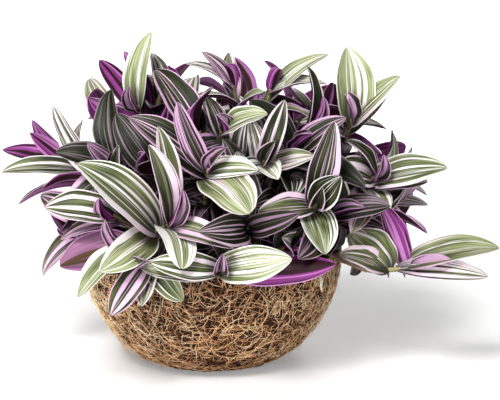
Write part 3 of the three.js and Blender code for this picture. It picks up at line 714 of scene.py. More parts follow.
def stalk_piece(plant, seed):
    route = cubic(plant["route"], np.linspace(0, 1, STALK_STEPS))
    foot = route[0] * [1, 1, 0] + UP * STEM["foot"]
    path = np.concatenate([[foot], route, plant["tip"][None] - plant["aim"] * NECK["points"]])
    distance = distance_along(path)
    end = distance[-1]
    step_in = (end - distance) / SHEATH["apart"] % 1  # 0 just under a node, rising to 1 just over the next
    radius = STEM["radius"] - SHEATH["thin"] + SHEATH["swell"] * np.clip(1 - step_in * 3.2, 0, 1)
    radius = radius + SHEATH["ring"] * np.clip(step_in * 8 - 7, 0, 1)
    radius = radius * np.interp(distance, [end - NECK["length"], end], [1, NECK["thin"]])
    points, quads = closed_tube(path, radius, STALK_SIDES, [0.2, 0.3, 0.9])
    share, length = np.arange(STALK_SIDES + 1) / STALK_SIDES, distance / end
    left, right, start, stop = share[:-1], share[1:], length[:-1], length[1:]
    shape = (len(path) - 1, STALK_SIDES, 4)
    across = np.broadcast_to(np.stack([left, right, right, left], -1), shape)
    upward = np.broadcast_to(np.stack([start, start, stop, stop], -1)[:, None], shape)
    places = np.stack([across, upward], -1).reshape(-1, 4, 2)
    cap_places = [[[spot, level] for spot in (0.1, 0.2, 0.3, 0.4)] for level in (0, 1)]
    places = np.concatenate([places, np.repeat(cap_places, STALK_SIDES // 2 - 1, axis=0)])
    brown = BROWNED["at_ground"] - (path[:, 2] - STEM["ground"]) / BROWNED["fades_over"]
    browned = np.repeat(np.clip(brown, 0, BROWNED["most"]), STALK_SIDES)[quads]
    maps = {
        "stalk": places * [1, end / STALK_MAP_LENGTH],
        "sheath": np.stack([browned, np.full(browned.shape, seed)], -1),
        "OFBake": places * 0.98 + 0.01,
    }
    piece = new_piece("stalk_" + plant["name"], points, quads, maps, [stalk_flesh])
    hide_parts("stem_" + plant["name"])


rng = np.random.default_rng(31)
for plant in plants:
    stalk_piece(plant, rng.uniform(0.05, 0.95))

# ---- The leaves ----------------------------------------------------------------------------------
# Thick, soft, pointed oval leaves without stalks, folded along the midrib and clasping the stem.
# Above they are sage to olive with lengthwise cream and pink bands, and beneath purple and maroon.

# A look: how pale its green is, how pink its bands are, how many thin lines, and its bands, each with
# its middle across the leaf (-1 and 1 are the margins) and half its width.
LOOKS = {
    "pink half": (0.47, 0.80, 0.35, [(0.64, 0.24)]),
    "pink edges": (0.50, 0.55, 0.35, [(-0.74, 0.20), (0.04, 0.09), (0.88, 0.08)]),
    "pink middle": (0.45, 0.75, 0.25, [(0.16, 0.24), (-0.80, 0.12)]),
    "pink stripes": (0.44, 0.42, 0.40, [(0.62, 0.13), (-0.04, 0.14), (-0.62, 0.08)]),
    "rose": (0.32, 0.85, 0.25, [(-0.45, 0.22), (0.36, 0.14)]),
    "white half": (0.54, 0.36, 0.35, [(-0.84, 0.21), (0.10, 0.05)]),
    "white foot": (0.58, 0.30, 0.40, [(0.86, 0.14), (-0.26, 0.05)]),
    "white bands": (0.74, 0.04, 0.55, [(0.36, 0.10), (-0.34, 0.04), (-0.72, 0.04)]),
    "cream spoon": (0.70, 0.03, 0.60, [(0.72, 0.22), (-0.06, 0.06), (-0.62, 0.10)]),
    "cream": (0.54, 0.14, 0.45, [(0.62, 0.16), (-0.12, 0.07), (-0.74, 0.12)]),
    "pale green": (0.84, 0.03, 0.35, [(0.84, 0.20), (-0.10, 0.03)]),
    "pale sage": (0.84, 0.04, 0.35, [(0.06, 0.05)]),
    "pale edged": (0.66, 0.40, 0.30, [(0.86, 0.15), (-0.88, 0.09)]),
    "mint": (0.86, 0.02, 0.65, [(0.52, 0.035), (-0.34, 0.04)]),
    "sage": (0.70, 0.45, 0.35, [(0.24, 0.05), (-0.90, 0.11)]),
    "sage lined": (0.66, 0.50, 0.15, [(0.42, 0.018), (-0.08, 0.012), (-0.52, 0.018)]),
    "green lined": (0.54, 0.06, 0.30, [(0.32, 0.012), (-0.18, 0.012), (-0.58, 0.02)]),
    "lined": (0.50, 0.40, 0.55, [(0.45, 0.05), (-0.18, 0.04)]),
    "edged": (0.47, 0.62, 0.35, [(0.82, 0.15), (-0.90, 0.07)]),
    "banded": (0.40, 0.40, 0.40, [(0.45, 0.11), (-0.28, 0.08), (-0.85, 0.09)]),
    "olive": (0.28, 0.62, 0.25, [(0.02, 0.06), (-0.86, 0.10)]),
    "plain": (0.52, 0.10, 0.08, []),
    "deep green": (0.16, 0.30, 0.10, [(0.94, 0.05)]),
    "dark": (0.15, 0.90, 0.25, [(0.88, 0.12), (-0.50, 0.05)]),
    "dark lined": (0.16, 0.85, 0.30, [(0.28, 0.035), (-0.28, 0.035), (-0.92, 0.07)]),
    "dark pink edge": (0.16, 0.80, 0.18, [(0.80, 0.19)]),
    "pale stripes": (0.42, 0.42, 0.30, [(0.50, 0.17), (-0.52, 0.14)]),
    # The shaded looks are painted shade: near-black leaves deep in the dome and low on the stems.
    "shaded green": (0.0, 0.40, 0.05, []),
    "shaded lined": (0.0, 0.60, 0.30, [(0.36, 0.04), (-0.30, 0.03)]),
    "shaded rose": (0.02, 0.95, 0.20, [(-0.40, 0.15), (0.50, 0.08)]),
    "violet back": (0.15, 1.00, 0.20, [(-0.10, 0.62)]),
    "dark violet edge": (0.16, 0.85, 0.05, [(0.86, 0.13), (-0.62, 0.20)]),
    "dry brown": (0.95, 0.85, 0.12, [(0.84, 0.08)]),
    "rolled pink": (0.20, 1.00, 0.10, [(0.0, 0.90)]),
    "rolled": (0.22, 1.00, 0.30, [(0.45, 0.17), (-0.60, 0.14)]),
    "rolled dark": (0.14, 0.80, 0.10, [(0.92, 0.06), (-0.92, 0.06)]),
}
NO_BAND = (0.0, -0.5)
LEAF_ROWS, LEAF_COLUMNS = 27, 13
OUTLINE = {"base": 0.60, "tip": 0.72, "spoon": 0.50}
SPOON_BOW = 0.2  # leaves arched more than this are spoon-shaped, with this share of the usual fold:
SPOON_FOLD = 0.2
RIB_HALF, MARGIN_HALF = 0.55, 0.17  # half the blade's thickness
CLASP_REACH, CLASP_SHARE = 3.0, 0.14  # half width at the base, and how far up a leaf it shows
TWIST, SIDE_BEND, UNEVEN = 6, 0.014, 0.03  # chance differences between leaves
CELL_SHAPE = 2.2  # a leaf's cell on the baked map: its length by its width
ATLAS_PAD = 0.06  # the share of the cell that is kept free on each side
RIM_SHARE = 0.8  # of that, for the blade's rim
GREEN_STOPS = [
    (0.0, (0.008, 0.011, 0.003)), (0.3, (0.020, 0.027, 0.007)), (0.65, (0.145, 0.175, 0.068)),
    (1.0, (0.40, 0.44, 0.235)),
]
# The mauve is partly the bands' own colour, partly painted shade.
CREAM, PALE_PINK, MAUVE_AND_SHADE = (0.88, 0.86, 0.82), (0.77, 0.53, 0.69), (0.50, 0.23, 0.48)
PURPLE, MAROON, LILAC = (0.28, 0.040, 0.245), (0.024, 0.004, 0.009), (0.60, 0.25, 0.57)
# The second colour is painted shade: the dark pink of bands and lines on the darkest leaves.
OLIVE_BROWN, PAINTED_SHADE_PINK = (0.125, 0.072, 0.036), (0.10, 0.045, 0.085)
# Painted shade: each leaf darkens to this colour towards its base, down in the rosette, over this share of
# its length.
PAINTED_BASE_SHADE = (0.022, 0.022, 0.014)  # where a leaf clasps its stem, down in the rosette
PAINTED_SHADE_REACH = 0.30  # of the leaf's length

# A band along a leaf: the space within half its width of its middle, with frayed and splintered edges.
band, given, put_out = new_group("band", {
    "Across": 0, "Along": 0, "Seed": 0, "Middle": 0, "Half Width": 0, "Edge": 0.018,
})
spot = wire(band, "ShaderNodeCombineXYZ", {
    "X": scaled(band, given["Seed"], 53.1, calc(band, "MULTIPLY", given["Across"], 6.5)),
    "Y": scaled(band, given["Middle"], 9.0, calc(band, "MULTIPLY", given["Along"], 2.0)),
}).outputs[0]
noise = {"Vector": spot, "Scale": 1.0, "Detail": 2.0, "Roughness": 0.5}
splinters = calc(band, "SUBTRACT", wire(band, "ShaderNodeTexNoise", noise).outputs["Fac"], 0.5)
off = calc(band, "ABSOLUTE", calc(band, "SUBTRACT", given["Across"], given["Middle"]))
inside = calc(band, "SUBTRACT", given["Half Width"], off)
reach = scaled(band, given["Half Width"], 1.3, 0.11, clamp=True)
low = calc(band, "MULTIPLY", given["Edge"], -1.0)
frayed = rescaled(band, scaled(band, splinters, reach, inside), low, given["Edge"], kind="SMOOTHSTEP")
band.links.new(frayed, put_out["Mask"])


def leaf_maps(tree):
    """What a leaf's maps say: across from -1 to 1, along, green, seed, pinkness, lines, and its bands."""
    titles = ("leaf", "ground", "tint", "band_one", "band_two", "band_three")
    values = [value for title in titles for value in map_values(tree, title)]
    return [scaled(tree, values[0], 2.0, -1.0), *values[1:6], values[6:]]


def largest(tree, *masks):
    total = masks[0]
    for mask in masks[1:]:
        total = calc(tree, "MAXIMUM", total, mask)
    return total


def band_mask(tree, across, along, seed, bands, wider, edge):
    """The three bands together, each as much wider as asked."""
    masks = []
    for middle, half in zip(bands[0::2], bands[1::2]):
        half = calc(tree, "ADD", half, wider)
        inputs = {"Across": across, "Along": along, "Seed": seed, "Middle": middle, "Half Width": half}
        node = wire(tree, "ShaderNodeGroup", {**inputs, "Edge": edge}, node_tree=band)
        masks.append(node.outputs["Mask"])
    return largest(tree, *masks)


def leaf_bump(tree, shader, across, along, seed):
    """Fine veins along the leaf and a groove at its midrib."""
    veins = streak_mask(tree, across, along, seed, Bands=16.0, Share=0.5, Edge=0.25, Run=0.6)
    groove = rescaled(tree, calc(tree, "ABSOLUTE", across), 0.0, 0.07, -0.8, 0.0)
    emboss(tree, shader, calc(tree, "ADD", veins, groove), 0.45, 0.0005)


leaf_upper, tree, shader = new_material("leaf upper side", 0.42, 0.22)
across, along, tone, seed, pink, lines, bands = leaf_maps(tree)
# Green: its own tone, cross-hatched and patchy, and paler towards the tip: the darker base is partly
# its own colour, partly painted shade down in the rosette.
hatch = streak_mask(tree, across, along, seed, Bands=19.0, Share=0.5, Edge=0.16, Run=3.2)
patches = streak_mask(tree, across, along, seed, Bands=1.6, Share=0.5, Edge=0.25, Run=2.0)
green = scaled(tree, along, 0.34, scaled(tree, patches, 0.22, scaled(tree, hatch, 0.30, tone)))
colour = ramp(tree, calc(tree, "SUBTRACT", green, 0.45, clamp=True), GREEN_STOPS)
# Bands and lines: cream, flushed pink to mauve where they are pinkest, most of all near the base;
# the mauve is partly their own colour, partly painted shade.
flush = scaled(tree, along, -0.5, scaled(tree, patches, 0.3, calc(tree, "MULTIPLY", pink, 1.5)))
flush = calc(tree, "SUBTRACT", flush, 0.12, clamp=True)
deep = calc(tree, "MULTIPLY", scaled(tree, pink, 2.6, -1.9, clamp=True), flush)
flushed = mixed(tree, deep, mixed(tree, flush, CREAM, PALE_PINK), MAUVE_AND_SHADE)
# Painted shade: on the darkest-toned leaves, deep in the dome, bands and lines darken to dark pink.
flushed = mixed(tree, scaled(tree, tone, -5.0, 0.75, clamp=True), flushed, PAINTED_SHADE_PINK)
# Where they lie: the broad bands, thin lines and hairlines, the margin and the midrib.
broad = band_mask(tree, across, along, seed, bands, 0.0, 0.018)
thin_seed, hair_seed = (calc(tree, "ADD", seed, shift) for shift in (0.31, 0.77))
thin_share = scaled(tree, lines, 0.26, 0.16)
thin = streak_mask(tree, across, along, thin_seed, Bands=6.5, Share=thin_share, Edge=0.02, Run=0.45)
hairs = streak_mask(tree, across, along, hair_seed, Bands=12.0, Share=0.13, Edge=0.02, Run=0.4)
thin, hairs = calc(tree, "MULTIPLY", thin, 0.8), calc(tree, "MULTIPLY", hairs, 0.6)
off_rib = calc(tree, "ABSOLUTE", across)
margin = rescaled(tree, off_rib, 0.925, 0.955)
midrib = rescaled(tree, off_rib, 0.012, 0.035, 0.5, 0.0)
colour = mixed(tree, largest(tree, broad, thin, hairs, margin, midrib), colour, flushed)
# Painted shade at the leaf's base, down in the rosette.
painted_base_shade = rescaled(tree, along, 0.02, PAINTED_SHADE_REACH, 0.85, 0.0)
tree.links.new(mixed(tree, painted_base_shade, colour, PAINTED_BASE_SHADE), shader.inputs["Base Color"])
leaf_bump(tree, shader, across, along, seed)

leaf_under, tree, shader = new_material("leaf underside", 0.48, 0.20)
across, along, tone, seed, pink, lines, bands = leaf_maps(tree)
# Purple where the upper side has its bands, and in loose streaks; maroon or olive brown between.
loose_share = scaled(tree, lines, 0.9, 0.04)
loose = streak_mask(tree, across, along, seed, Bands=2.4, Share=loose_share, Edge=0.03)
bright = largest(tree, band_mask(tree, across, along, seed, bands, 0.05, 0.04), loose)
brownish = scaled(tree, tone, 2.0, -0.7, clamp=True)
colour = mixed(tree, bright, mixed(tree, brownish, MAROON, OLIVE_BROWN), PURPLE)
# Lilac streaks and margin, and a dark hatching over all.
lilac_seed = calc(tree, "ADD", seed, 0.63)
paler = streak_mask(tree, across, along, lilac_seed, Bands=4.0, Share=0.42, Edge=0.06, Run=0.7)
where = scaled(tree, brownish, 0.45, calc(tree, "MULTIPLY", bright, 0.85), clamp=True)
colour = mixed(tree, calc(tree, "MULTIPLY", paler, where), colour, LILAC)
hatch = streak_mask(tree, across, along, seed, Bands=13.0, Share=0.5, Edge=0.22, Run=2.2)
colour = mixed(tree, calc(tree, "MULTIPLY", hatch, 0.3), colour, MAROON)
margin = rescaled(tree, calc(tree, "ABSOLUTE", across), 0.9, 0.95)
tree.links.new(mixed(tree, margin, colour, LILAC), shader.inputs["Base Color"])
leaf_bump(tree, shader, across, along, seed)


def outline(share, leaf):
    """Half width along the leaf as a share of its widest."""
    base, tip = OUTLINE["base"], OUTLINE["spoon"] if leaf["bow"] > SPOON_BOW else OUTLINE["tip"]
    peak = base / (base + tip)
    return share ** base * (1 - share) ** tip / (peak ** base * (1 - peak) ** tip)


def leaf_surface(leaf, rng, rows, columns):
    """The middle of the blade: rows x columns of points, its normals and half thicknesses."""
    step, v = np.linspace(0, 1, rows), np.linspace(-1, 1, columns)
    u = 0.5 * step + 0.25 * (1 - np.cos(math.pi * step))  # closer together at both ends
    u = u * 0.997 + 0.001
    v = np.sign(v) * np.abs(v) ** 0.85  # and towards the margins
    base, chord, face = leaf["base"], leaf["chord"], leaf["face"]
    length = np.linalg.norm(chord)
    height = leaf["bow"] * length * 4
    centre = base + chord * u[:, None] + face * (height * u * (1 - u))[:, None]
    along = unit_rows(chord + face * (height * (1 - 2 * u))[:, None])
    normal = unit_rows(face - along * (along @ face)[:, None])
    side = np.cross(along, normal)
    twist = math.radians(rng.normal(0, TWIST)) * (u - 0.25)
    side, normal = (
        side * np.cos(twist)[:, None] + normal * np.sin(twist)[:, None],
        normal * np.cos(twist)[:, None] - side * np.sin(twist)[:, None],
    )
    centre = centre + side * (length * rng.normal(0, SIDE_BEND) * np.sin(math.pi * u) * (1 - u))[:, None]
    clasp = np.maximum(0, 1 - u / BLADE["clasp_end"]) ** 2
    flat = leaf["fold"] * (SPOON_FOLD if leaf["bow"] > SPOON_BOW else 1)
    fold = np.radians(flat + (max(BLADE["clasp"], flat) - flat) * clasp)
    foot = CLASP_REACH * np.clip(1 - u / CLASP_SHARE, 0, 1)
    reach = np.maximum(leaf["width"] / 2 * outline(u, leaf), foot)
    reach = reach * (1 + UNEVEN * np.sin(u * rng.uniform(9, 14) + rng.uniform(0, 6)))
    waves = np.zeros((rows, columns))
    for hand in (-1, 1):
        ripple = np.sin(u * rng.uniform(8, 17) + rng.uniform(0, 6.3))
        swell = ripple * rng.uniform(0.2, 0.75) * np.sin(math.pi * u)
        waves += swell[:, None] * np.clip(hand * v, 0, 1)[None] ** 2
    raised = reach[:, None] * np.tan(fold)[:, None] * np.abs(v)[None] ** 1.35
    points = centre[:, None] + side[:, None] * (reach[:, None] * v[None])[..., None]
    points = points + normal[:, None] * (raised + waves)[..., None]
    down_rows, down_columns = np.gradient(points, axis=0), np.gradient(points, axis=1)
    surface_normal = unit_rows(np.cross(down_columns, down_rows))
    flip = np.sign((surface_normal * normal[:, None]).sum(axis=-1, keepdims=True))
    surface_normal *= np.where(flip == 0, 1, flip)
    taper = np.clip(np.minimum(u * 12, (1 - u) * 14), 0.25, 1)[:, None]
    half = (MARGIN_HALF + (RIB_HALF - MARGIN_HALF) * (1 - np.abs(v)[None] ** 0.8)) * taper
    return points, surface_normal, half, u, v


def grid_faces(index):
    """Faces between the rows and columns of a grid of points."""
    return np.stack([index[:-1, :-1], index[:-1, 1:], index[1:, 1:], index[1:, :-1]], -1).reshape(-1, 4)


def leaf_quads(rows, columns):
    """Faces of one closed blade, and for each face which side it is on: 0 upper, 1 lower, 2 to 5 rims."""
    upper = np.arange(rows * columns).reshape(rows, columns)
    lower = upper + rows * columns
    sides = [grid_faces(upper), grid_faces(lower)[:, [0, 3, 2, 1]]]
    for rim, rim_under in ((upper[:, 0], lower[:, 0]), (upper[-1], lower[-1])):
        sides.append(np.stack([rim[:-1], rim[1:], rim_under[1:], rim_under[:-1]], -1))
    for rim, rim_under in ((upper[:, -1], lower[:, -1]), (upper[0], lower[0])):
        sides.append(np.stack([rim[1:], rim[:-1], rim_under[:-1], rim_under[1:]], -1))
    sides[3:] = sides[4], sides[5], sides[3]  # in the order of their numbers
    return np.concatenate(sides), np.repeat(np.arange(6), [len(side) for side in sides])


RIM_STEP = {2: (-1, 0), 3: (1, 0), 4: (0, -1), 5: (0, 1)}  # which way a rim's faces step off the cell


def painted(look, rng):
    """A leaf's colouring with its small differences: what goes into its ground, tint and band maps."""
    tone, pink, lines, bands = LOOKS[look]
    jitter = rng.uniform(-1, 1, 4)
    values = {
        "ground": (min(tone * (1 + 0.16 * jitter[0]), 1), (jitter[1] + 1) / 2),
        "tint": (np.clip(pink + 0.1 * jitter[2], 0, 1), np.clip(lines + 0.1 * jitter[3], 0, 1)),
    }
    values.update(zip(("band_one", "band_two", "band_three"), [*bands, NO_BAND, NO_BAND, NO_BAND]))
    return values


def leaves_piece(name, leaves, rows, columns, rng):
    """One object with all the leaves of a stem, their paint in UV maps and their cells on the bake's."""
    blade_quads, blade_sides = leaf_quads(rows, columns)
    size = rows * columns
    cells = 2 * len(leaves)
    wide = math.ceil(math.sqrt(cells * CELL_SHAPE))
    tall = math.ceil(cells / wide)
    points, quads, looks, sharp = [], [], [], []
    maps = {}
    edge = np.zeros((rows, columns), bool)
    edge[:, 0] = edge[:, -1] = edge[0] = edge[-1] = True
    for count, leaf in enumerate(leaves):
        middle, normal, half, u, v = leaf["surface"]
        for hand in (1, -1):
            points.append((middle + hand * normal * half[..., None]).reshape(-1, 3))
        quads.append(blade_quads + 2 * size * count)
        looks.append(blade_sides == 1)
        sharp.append(np.tile(edge.ravel(), 2))
        place = np.stack(np.broadcast_arrays((v[None] + 1) / 2, u[:, None]), -1).reshape(-1, 2)
        corner_places = np.tile(place, (2, 1))[blade_quads]
        maps.setdefault("leaf", []).append(corner_places)
        for title, pair in painted(leaf["look"], rng).items():
            maps.setdefault(title, []).append(np.broadcast_to(pair, corner_places.shape))
        bake = np.empty_like(corner_places)
        for face_side in range(6):
            chosen = blade_sides == face_side
            cell = 2 * count + (1 if face_side == 1 else 0)
            local = corner_places[chosen] * (1 - 2 * ATLAS_PAD) + ATLAS_PAD
            if face_side in RIM_STEP:
                on_lower = (blade_quads[chosen] >= size)[..., None]
                local = local + on_lower * np.array(RIM_STEP[face_side]) * ATLAS_PAD * RIM_SHARE
            bake[chosen] = (local + [cell % wide, cell // wide]) / [wide, tall]
        maps.setdefault("OFBake", []).append(bake)
    maps = {title: np.concatenate(parts) for title, parts in maps.items()}
    points, quads, looks, sharp = (np.concatenate(parts) for parts in (points, quads, looks, sharp))
    piece = new_piece(name, points, quads, maps, [leaf_upper, leaf_under], looks, sharp)
    return piece


def sheet_tree(surfaces):
    """A search tree over the middles of some blades."""
    corners, faces, start = [], [], 0
    for points in surfaces:
        count_rows, count_columns, _ = points.shape
        index = np.arange(count_rows * count_columns).reshape(count_rows, count_columns) + start
        faces.append(grid_faces(index))
        corners.append(points.reshape(-1, 3))
        start += count_rows * count_columns
    return BVHTree.FromPolygons(np.concatenate(corners).tolist(), np.concatenate(faces).tolist())


# The rolled young leaves of the shoots whose solids have none.
YOUNG = {"lengths": (26, 23, 20, 16), "tilt": 13, "tilts": 8, "clasping_rows": 11}
# Each leaf of the front shoots takes the first place clear of the leaves before it: the one it is
# seen in, or one part of the way to its solid's or a little past it. The others start from their
# solid's place, and turn or shorten a little (lift, turn, length) where they would cross a leaf.
NUDGES = [
    (0, 0, 1), (0, 0, 1), (0, 0, 1), (8, 0, 1), (-8, 0, 1), (0, 8, 1), (0, -8, 1), (0, 15, 1),
    (0, -15, 1), (14, 0, 1), (-14, 0, 1), (0, 0, 0.9), (0, 12, 0.9), (0, -12, 0.9), (0, 22, 0.9),
    (0, -22, 0.9), (0, 0, 0.8), (0, 12, 0.8), (0, -12, 0.8), (12, 0, 0.8), (0, 0, 0.7), (14, 14, 0.8),
    (14, -14, 0.8), (-14, 14, 0.8), (-14, -14, 0.8), (0, 28, 0.7), (0, -28, 0.7), (20, 0, 0.7),
    (-20, 0, 0.7), (0, 0, 0.6),
]
STRAIGHTENED = (0, 0, 0.25, -0.25, 0.5, -0.5, 0.75)
# Rows at a blade's base that may touch: the leaves of its own shoot, which it clasps, and others.
CLASPING_ROWS, BASE_ROWS = 13, 3


def crossings(points, others):
    """How many faces of these blades a new one crosses, and what it adds to the list of blades."""
    tree = sheet_tree([points])
    lowest, highest = points.min(axis=(0, 1)) - 1, points.max(axis=(0, 1)) + 1
    total = 0
    for other_lowest, other_highest, other_tree in others:
        if (other_lowest < highest).all() and (other_highest > lowest).all():
            total += len(tree.overlap(other_tree))
    return total, (lowest, highest, tree)


rng = np.random.default_rng(47)
other_shoots = []
for number, plant in enumerate(plants):
    same_shoot, placed = [], []
    for leaf in plant["leaves"]:
        best = None
        (lift, turn), stretch = leaf["swing"], leaf["stretch"]
        tries = []
        for more_lift, more_turn, share in NUDGES:
            tries.append(((lift + more_lift, turn + more_turn), stretch * share))
        if number < len(FRONT_SHOOTS):
            tries = [((lift * share, turn * share), 1) for share in STRAIGHTENED] + tries
        for swing, stretch in tries:
            spot = leaf_frame(plant["tip"], plant["aim"], leaf, swing, stretch)
            surface = leaf_surface({**leaf, **spot}, rng, LEAF_ROWS, LEAF_COLUMNS)
            total, blade = crossings(surface[0][BASE_ROWS:], other_shoots)
            own_total, own_blade = crossings(surface[0][CLASPING_ROWS:], same_shoot)
            if best is None or total + own_total < best[0]:
                best = (total + own_total, surface, blade, own_blade)
            if total + own_total == 0:
                break
        leaf["surface"] = best[1]
        placed.append(best[2])
        same_shoot.append(best[3])
    other_shoots += placed
large = sheet_tree([leaf["surface"][0] for plant in plants for leaf in plant["leaves"]])
for plant in plants:
    tries = []
    if not any(leaf["down"] == BUD["down"] for leaf in plant["leaves"]):
        tries = [(length, turn) for length in YOUNG["lengths"] for turn in range(YOUNG["tilts"])]
    sideways = turned_about(plant["aim"], unit(np.cross(plant["aim"], SIDEWAYS)), YOUNG["tilt"])
    for length, turn in tries:
        leaning = turned_about(sideways, plant["aim"], turn * 360 / YOUNG["tilts"])
        leaf = {**BUD, "to": leaning * length, "roll": 0, "look": "rolled"}
        leaf.update(leaf_frame(plant["tip"], plant["aim"], leaf, (0, 0), 1))
        leaf["surface"] = leaf_surface(leaf, rng, LEAF_ROWS, LEAF_COLUMNS)
        if not sheet_tree([leaf["surface"][0][YOUNG["clasping_rows"]:]]).overlap(large):
            plant["leaves"].append(leaf)
            break
    piece = leaves_piece("leaves_" + plant["name"], plant["leaves"], LEAF_ROWS, LEAF_COLUMNS, rng)
    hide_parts("stem_" + plant["name"])
large = sheet_tree([leaf["surface"][0] for plant in plants for leaf in plant["leaves"]])

# ---- The small leaves low on the stems -----------------------------------------------------------
# Under each rosette the stem still carries its older and its side leaves. They are small and narrow,
# near-black in painted shade, and fill the shade between the stems. None touches the large leaves.
SMALL = {
    "from": 9, "apart": 8.5, "turn": 137.5, "turn_spread": 15, "length": (26, 46), "width": (9, 16),
    "lean": (48, 78), "bow": 0.14,
}
SMALL_ROWS, SMALL_COLUMNS, SMALL_BASE_ROWS = 17, 9, 4
# The shaded looks are painted shade, near-black in the shade between the stems.
SMALL_LOOKS = ["shaded green", "shaded lined", "shaded green", "shaded rose", "dark", "shaded green"]
TRIES = 7
MOUTH = BOWL["rim"] - BOWL["wall"] - 6  # the radius they keep within, up to this height:
MOUTH_HEIGHT = BOWL["height"] + 4


def at_distance(where, distance, line):
    return np.stack([np.interp(where, distance, column) for column in line.T], -1)


small_placed = []
rng = np.random.default_rng(77)
for plant in plants:
    line = cubic(plant["route"], np.linspace(0, 1, 60))
    distance = distance_along(line)
    bearing = rng.uniform(0, 360)
    small = []
    for height in np.arange(SMALL["from"], distance[-1], SMALL["apart"]):
        base, further = (at_distance(height + more, distance, line) for more in (0, 2))
        ahead = unit(further - base + 1e-6)
        first = unit(np.cross(ahead, SIDEWAYS))
        second = np.cross(ahead, first)
        for _ in range(TRIES):
            bearing += SMALL["turn"] + rng.uniform(-SMALL["turn_spread"], SMALL["turn_spread"])
            lean = math.radians(rng.uniform(*SMALL["lean"]))
            turn = math.radians(bearing)
            chord = leant_way(ahead, first, second, lean, turn) * rng.uniform(*SMALL["length"])
            face = unit(ahead - unit(chord) * np.dot(ahead, unit(chord)))
            leaf = {
                "base": base, "chord": chord, "face": face, "width": rng.uniform(*SMALL["width"]),
                "fold": BLADE["fold"], "bow": SMALL["bow"],
                "look": SMALL_LOOKS[rng.integers(len(SMALL_LOOKS))],
            }
            leaf["surface"] = leaf_surface(leaf, rng, SMALL_ROWS, SMALL_COLUMNS)
            points = leaf["surface"][0]
            radius = np.linalg.norm(points[..., :2], axis=-1)
            in_soil = points[..., 2] < STEM["ground"] + 1
            in_wall = (radius > MOUTH) & (points[..., 2] < MOUTH_HEIGHT)
            if (in_soil | in_wall).any():
                continue
            total, blade = crossings(points[SMALL_BASE_ROWS:], small_placed)
            if total or blade[2].overlap(large):
                continue
            small_placed.append(blade)
            small.append(leaf)
            break
    if small:
        leaves_piece("small_leaves_" + plant["name"], small, SMALL_ROWS, SMALL_COLUMNS, rng)

# ---- The dry root end ----------------------------------------------------------------------------
# A dead root that hangs out over the rim at the right front: cream, papery and a little crooked. It
# grew between the stems and the rim, and dried in the air.
ROOT_LINE = np.array([
    (84, -62, 88), (86, -66, 85.5), (87.2, -69.2, 82), (86.6, -70.2, 78), (87.4, -70.6, 73.5),
])
ROOT_RADII = (0.5, 1.0, 1.25, 1.1, 0.45)
ROOT_STEPS, ROOT_SIDES, KNOBS, KNOB_HEIGHT = 25, 8, 37, 0.12
ROOT_STOPS = [(0.35, (0.72, 0.66, 0.50)), (0.65, (0.86, 0.83, 0.72))]

dry_root = crumbly_material("dry root", 0.8, 0.2, ROOT_STOPS, 0.7, 0.0004, Scale=900, Detail=4)
share = np.linspace(0, 1, ROOT_STEPS)
knots = np.linspace(0, 1, len(ROOT_LINE))
thickness = np.interp(share, knots, ROOT_RADII) * (1 + KNOB_HEIGHT * np.sin(share * KNOBS))
root_tube = closed_tube(at_distance(share, knots, ROOT_LINE), thickness, ROOT_SIDES, [0.2, 0.9, 0.1])
new_piece("dry_root_end", *root_tube, {}, [dry_root])

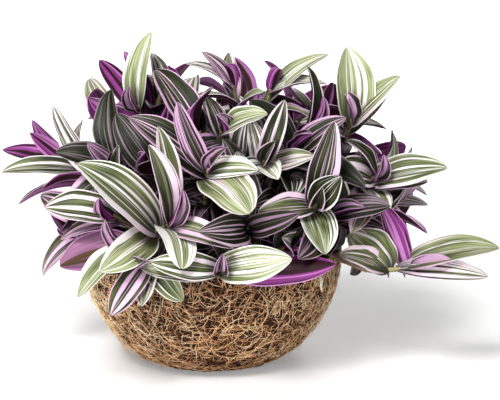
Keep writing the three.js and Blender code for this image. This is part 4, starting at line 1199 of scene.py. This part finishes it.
# ---- The setting ---------------------------------------------------------------------------------
# A pale floor, the camera, and soft studio light: a key from high on the left, a fill from the
# right, a low one on the bowl and one from behind.
# The floor glows a little for the camera alone, more so far away, so that it fades to white all round.
floor_paint, tree, shader = new_material("pale floor", 0.9, 0.2)
shader.inputs["Base Color"].default_value = (0.86, 0.86, 0.85, 1)
shader.inputs["Emission Color"].default_value = (1, 1, 1, 1)
place = wire(tree, "ShaderNodeTexCoord", {}).outputs["Object"]
away = wire(tree, "ShaderNodeVectorMath", {0: place}, operation="LENGTH").outputs["Value"]
glow = rescaled(tree, away, 0.2, 1.3, 0.22, 1.0)
seen = wire(tree, "ShaderNodeLightPath", {}).outputs["Is Camera Ray"]
tree.links.new(calc(tree, "MULTIPLY", seen, glow), shader.inputs["Emission Strength"])
bpy.ops.mesh.primitive_circle_add(vertices=96, radius=9, fill_type="NGON")
floor = bpy.context.object
floor.name = "floor"
floor.data.materials.append(floor_paint)

AIM = Vector((0.031, 0, 0.132))
CAMERA_ELEVATION = math.radians(12)
CAMERA_DISTANCE = 1.3
FRAME_WIDTH = 0.41  # metres that the frame's width covers at AIM
camera_data = bpy.data.cameras.new("camera")
camera_data.sensor_width = 36
camera_data.lens = camera_data.sensor_width * CAMERA_DISTANCE / FRAME_WIDTH
camera = bpy.data.objects.new("camera", camera_data)
back = Vector((0, -math.cos(CAMERA_ELEVATION), math.sin(CAMERA_ELEVATION)))
camera.location = AIM + back * CAMERA_DISTANCE
camera.rotation_euler = back.to_track_quat("Z", "Y").to_euler()
bpy.context.scene.collection.objects.link(camera)
bpy.context.scene.camera = camera

LAMPS = {  # place and target in metres, side in metres, watts
    "key": ((-0.6, -1.75, 1.9), AIM, 0.7, 67),
    "fill": ((1.5, -1.6, 0.8), AIM, 1.0, 10),
    "low": ((-0.75, -1.1, 0.22), (0, 0, 0.04), 0.35, 9),
    "back": ((0.5, 1.9, 1.3), AIM, 1.0, 26),
}
for name, (place, target, side, watts) in LAMPS.items():
    lamp_data = bpy.data.lights.new(name, "AREA")
    lamp_data.size = side
    lamp_data.energy = watts
    lamp = bpy.data.objects.new(name, lamp_data)
    lamp.location = place
    lamp.rotation_euler = (Vector(place) - Vector(target)).to_track_quat("Z", "Y").to_euler()
    bpy.context.scene.collection.objects.link(lamp)

world = bpy.data.worlds.new("studio")
bpy.context.scene.world = world
world.use_nodes = True
backdrop = world.node_tree.nodes["Background"]
backdrop.inputs["Color"].default_value = (1, 1, 1, 1)
seen = wire(world.node_tree, "ShaderNodeLightPath", {}).outputs["Is Camera Ray"]
strength = rescaled(world.node_tree, seen, 0, 1, 0.03, 1.0)  # white for the camera, a weak light else
world.node_tree.links.new(strength, backdrop.inputs["Strength"])
bpy.context.scene.view_settings.view_transform = "Standard"
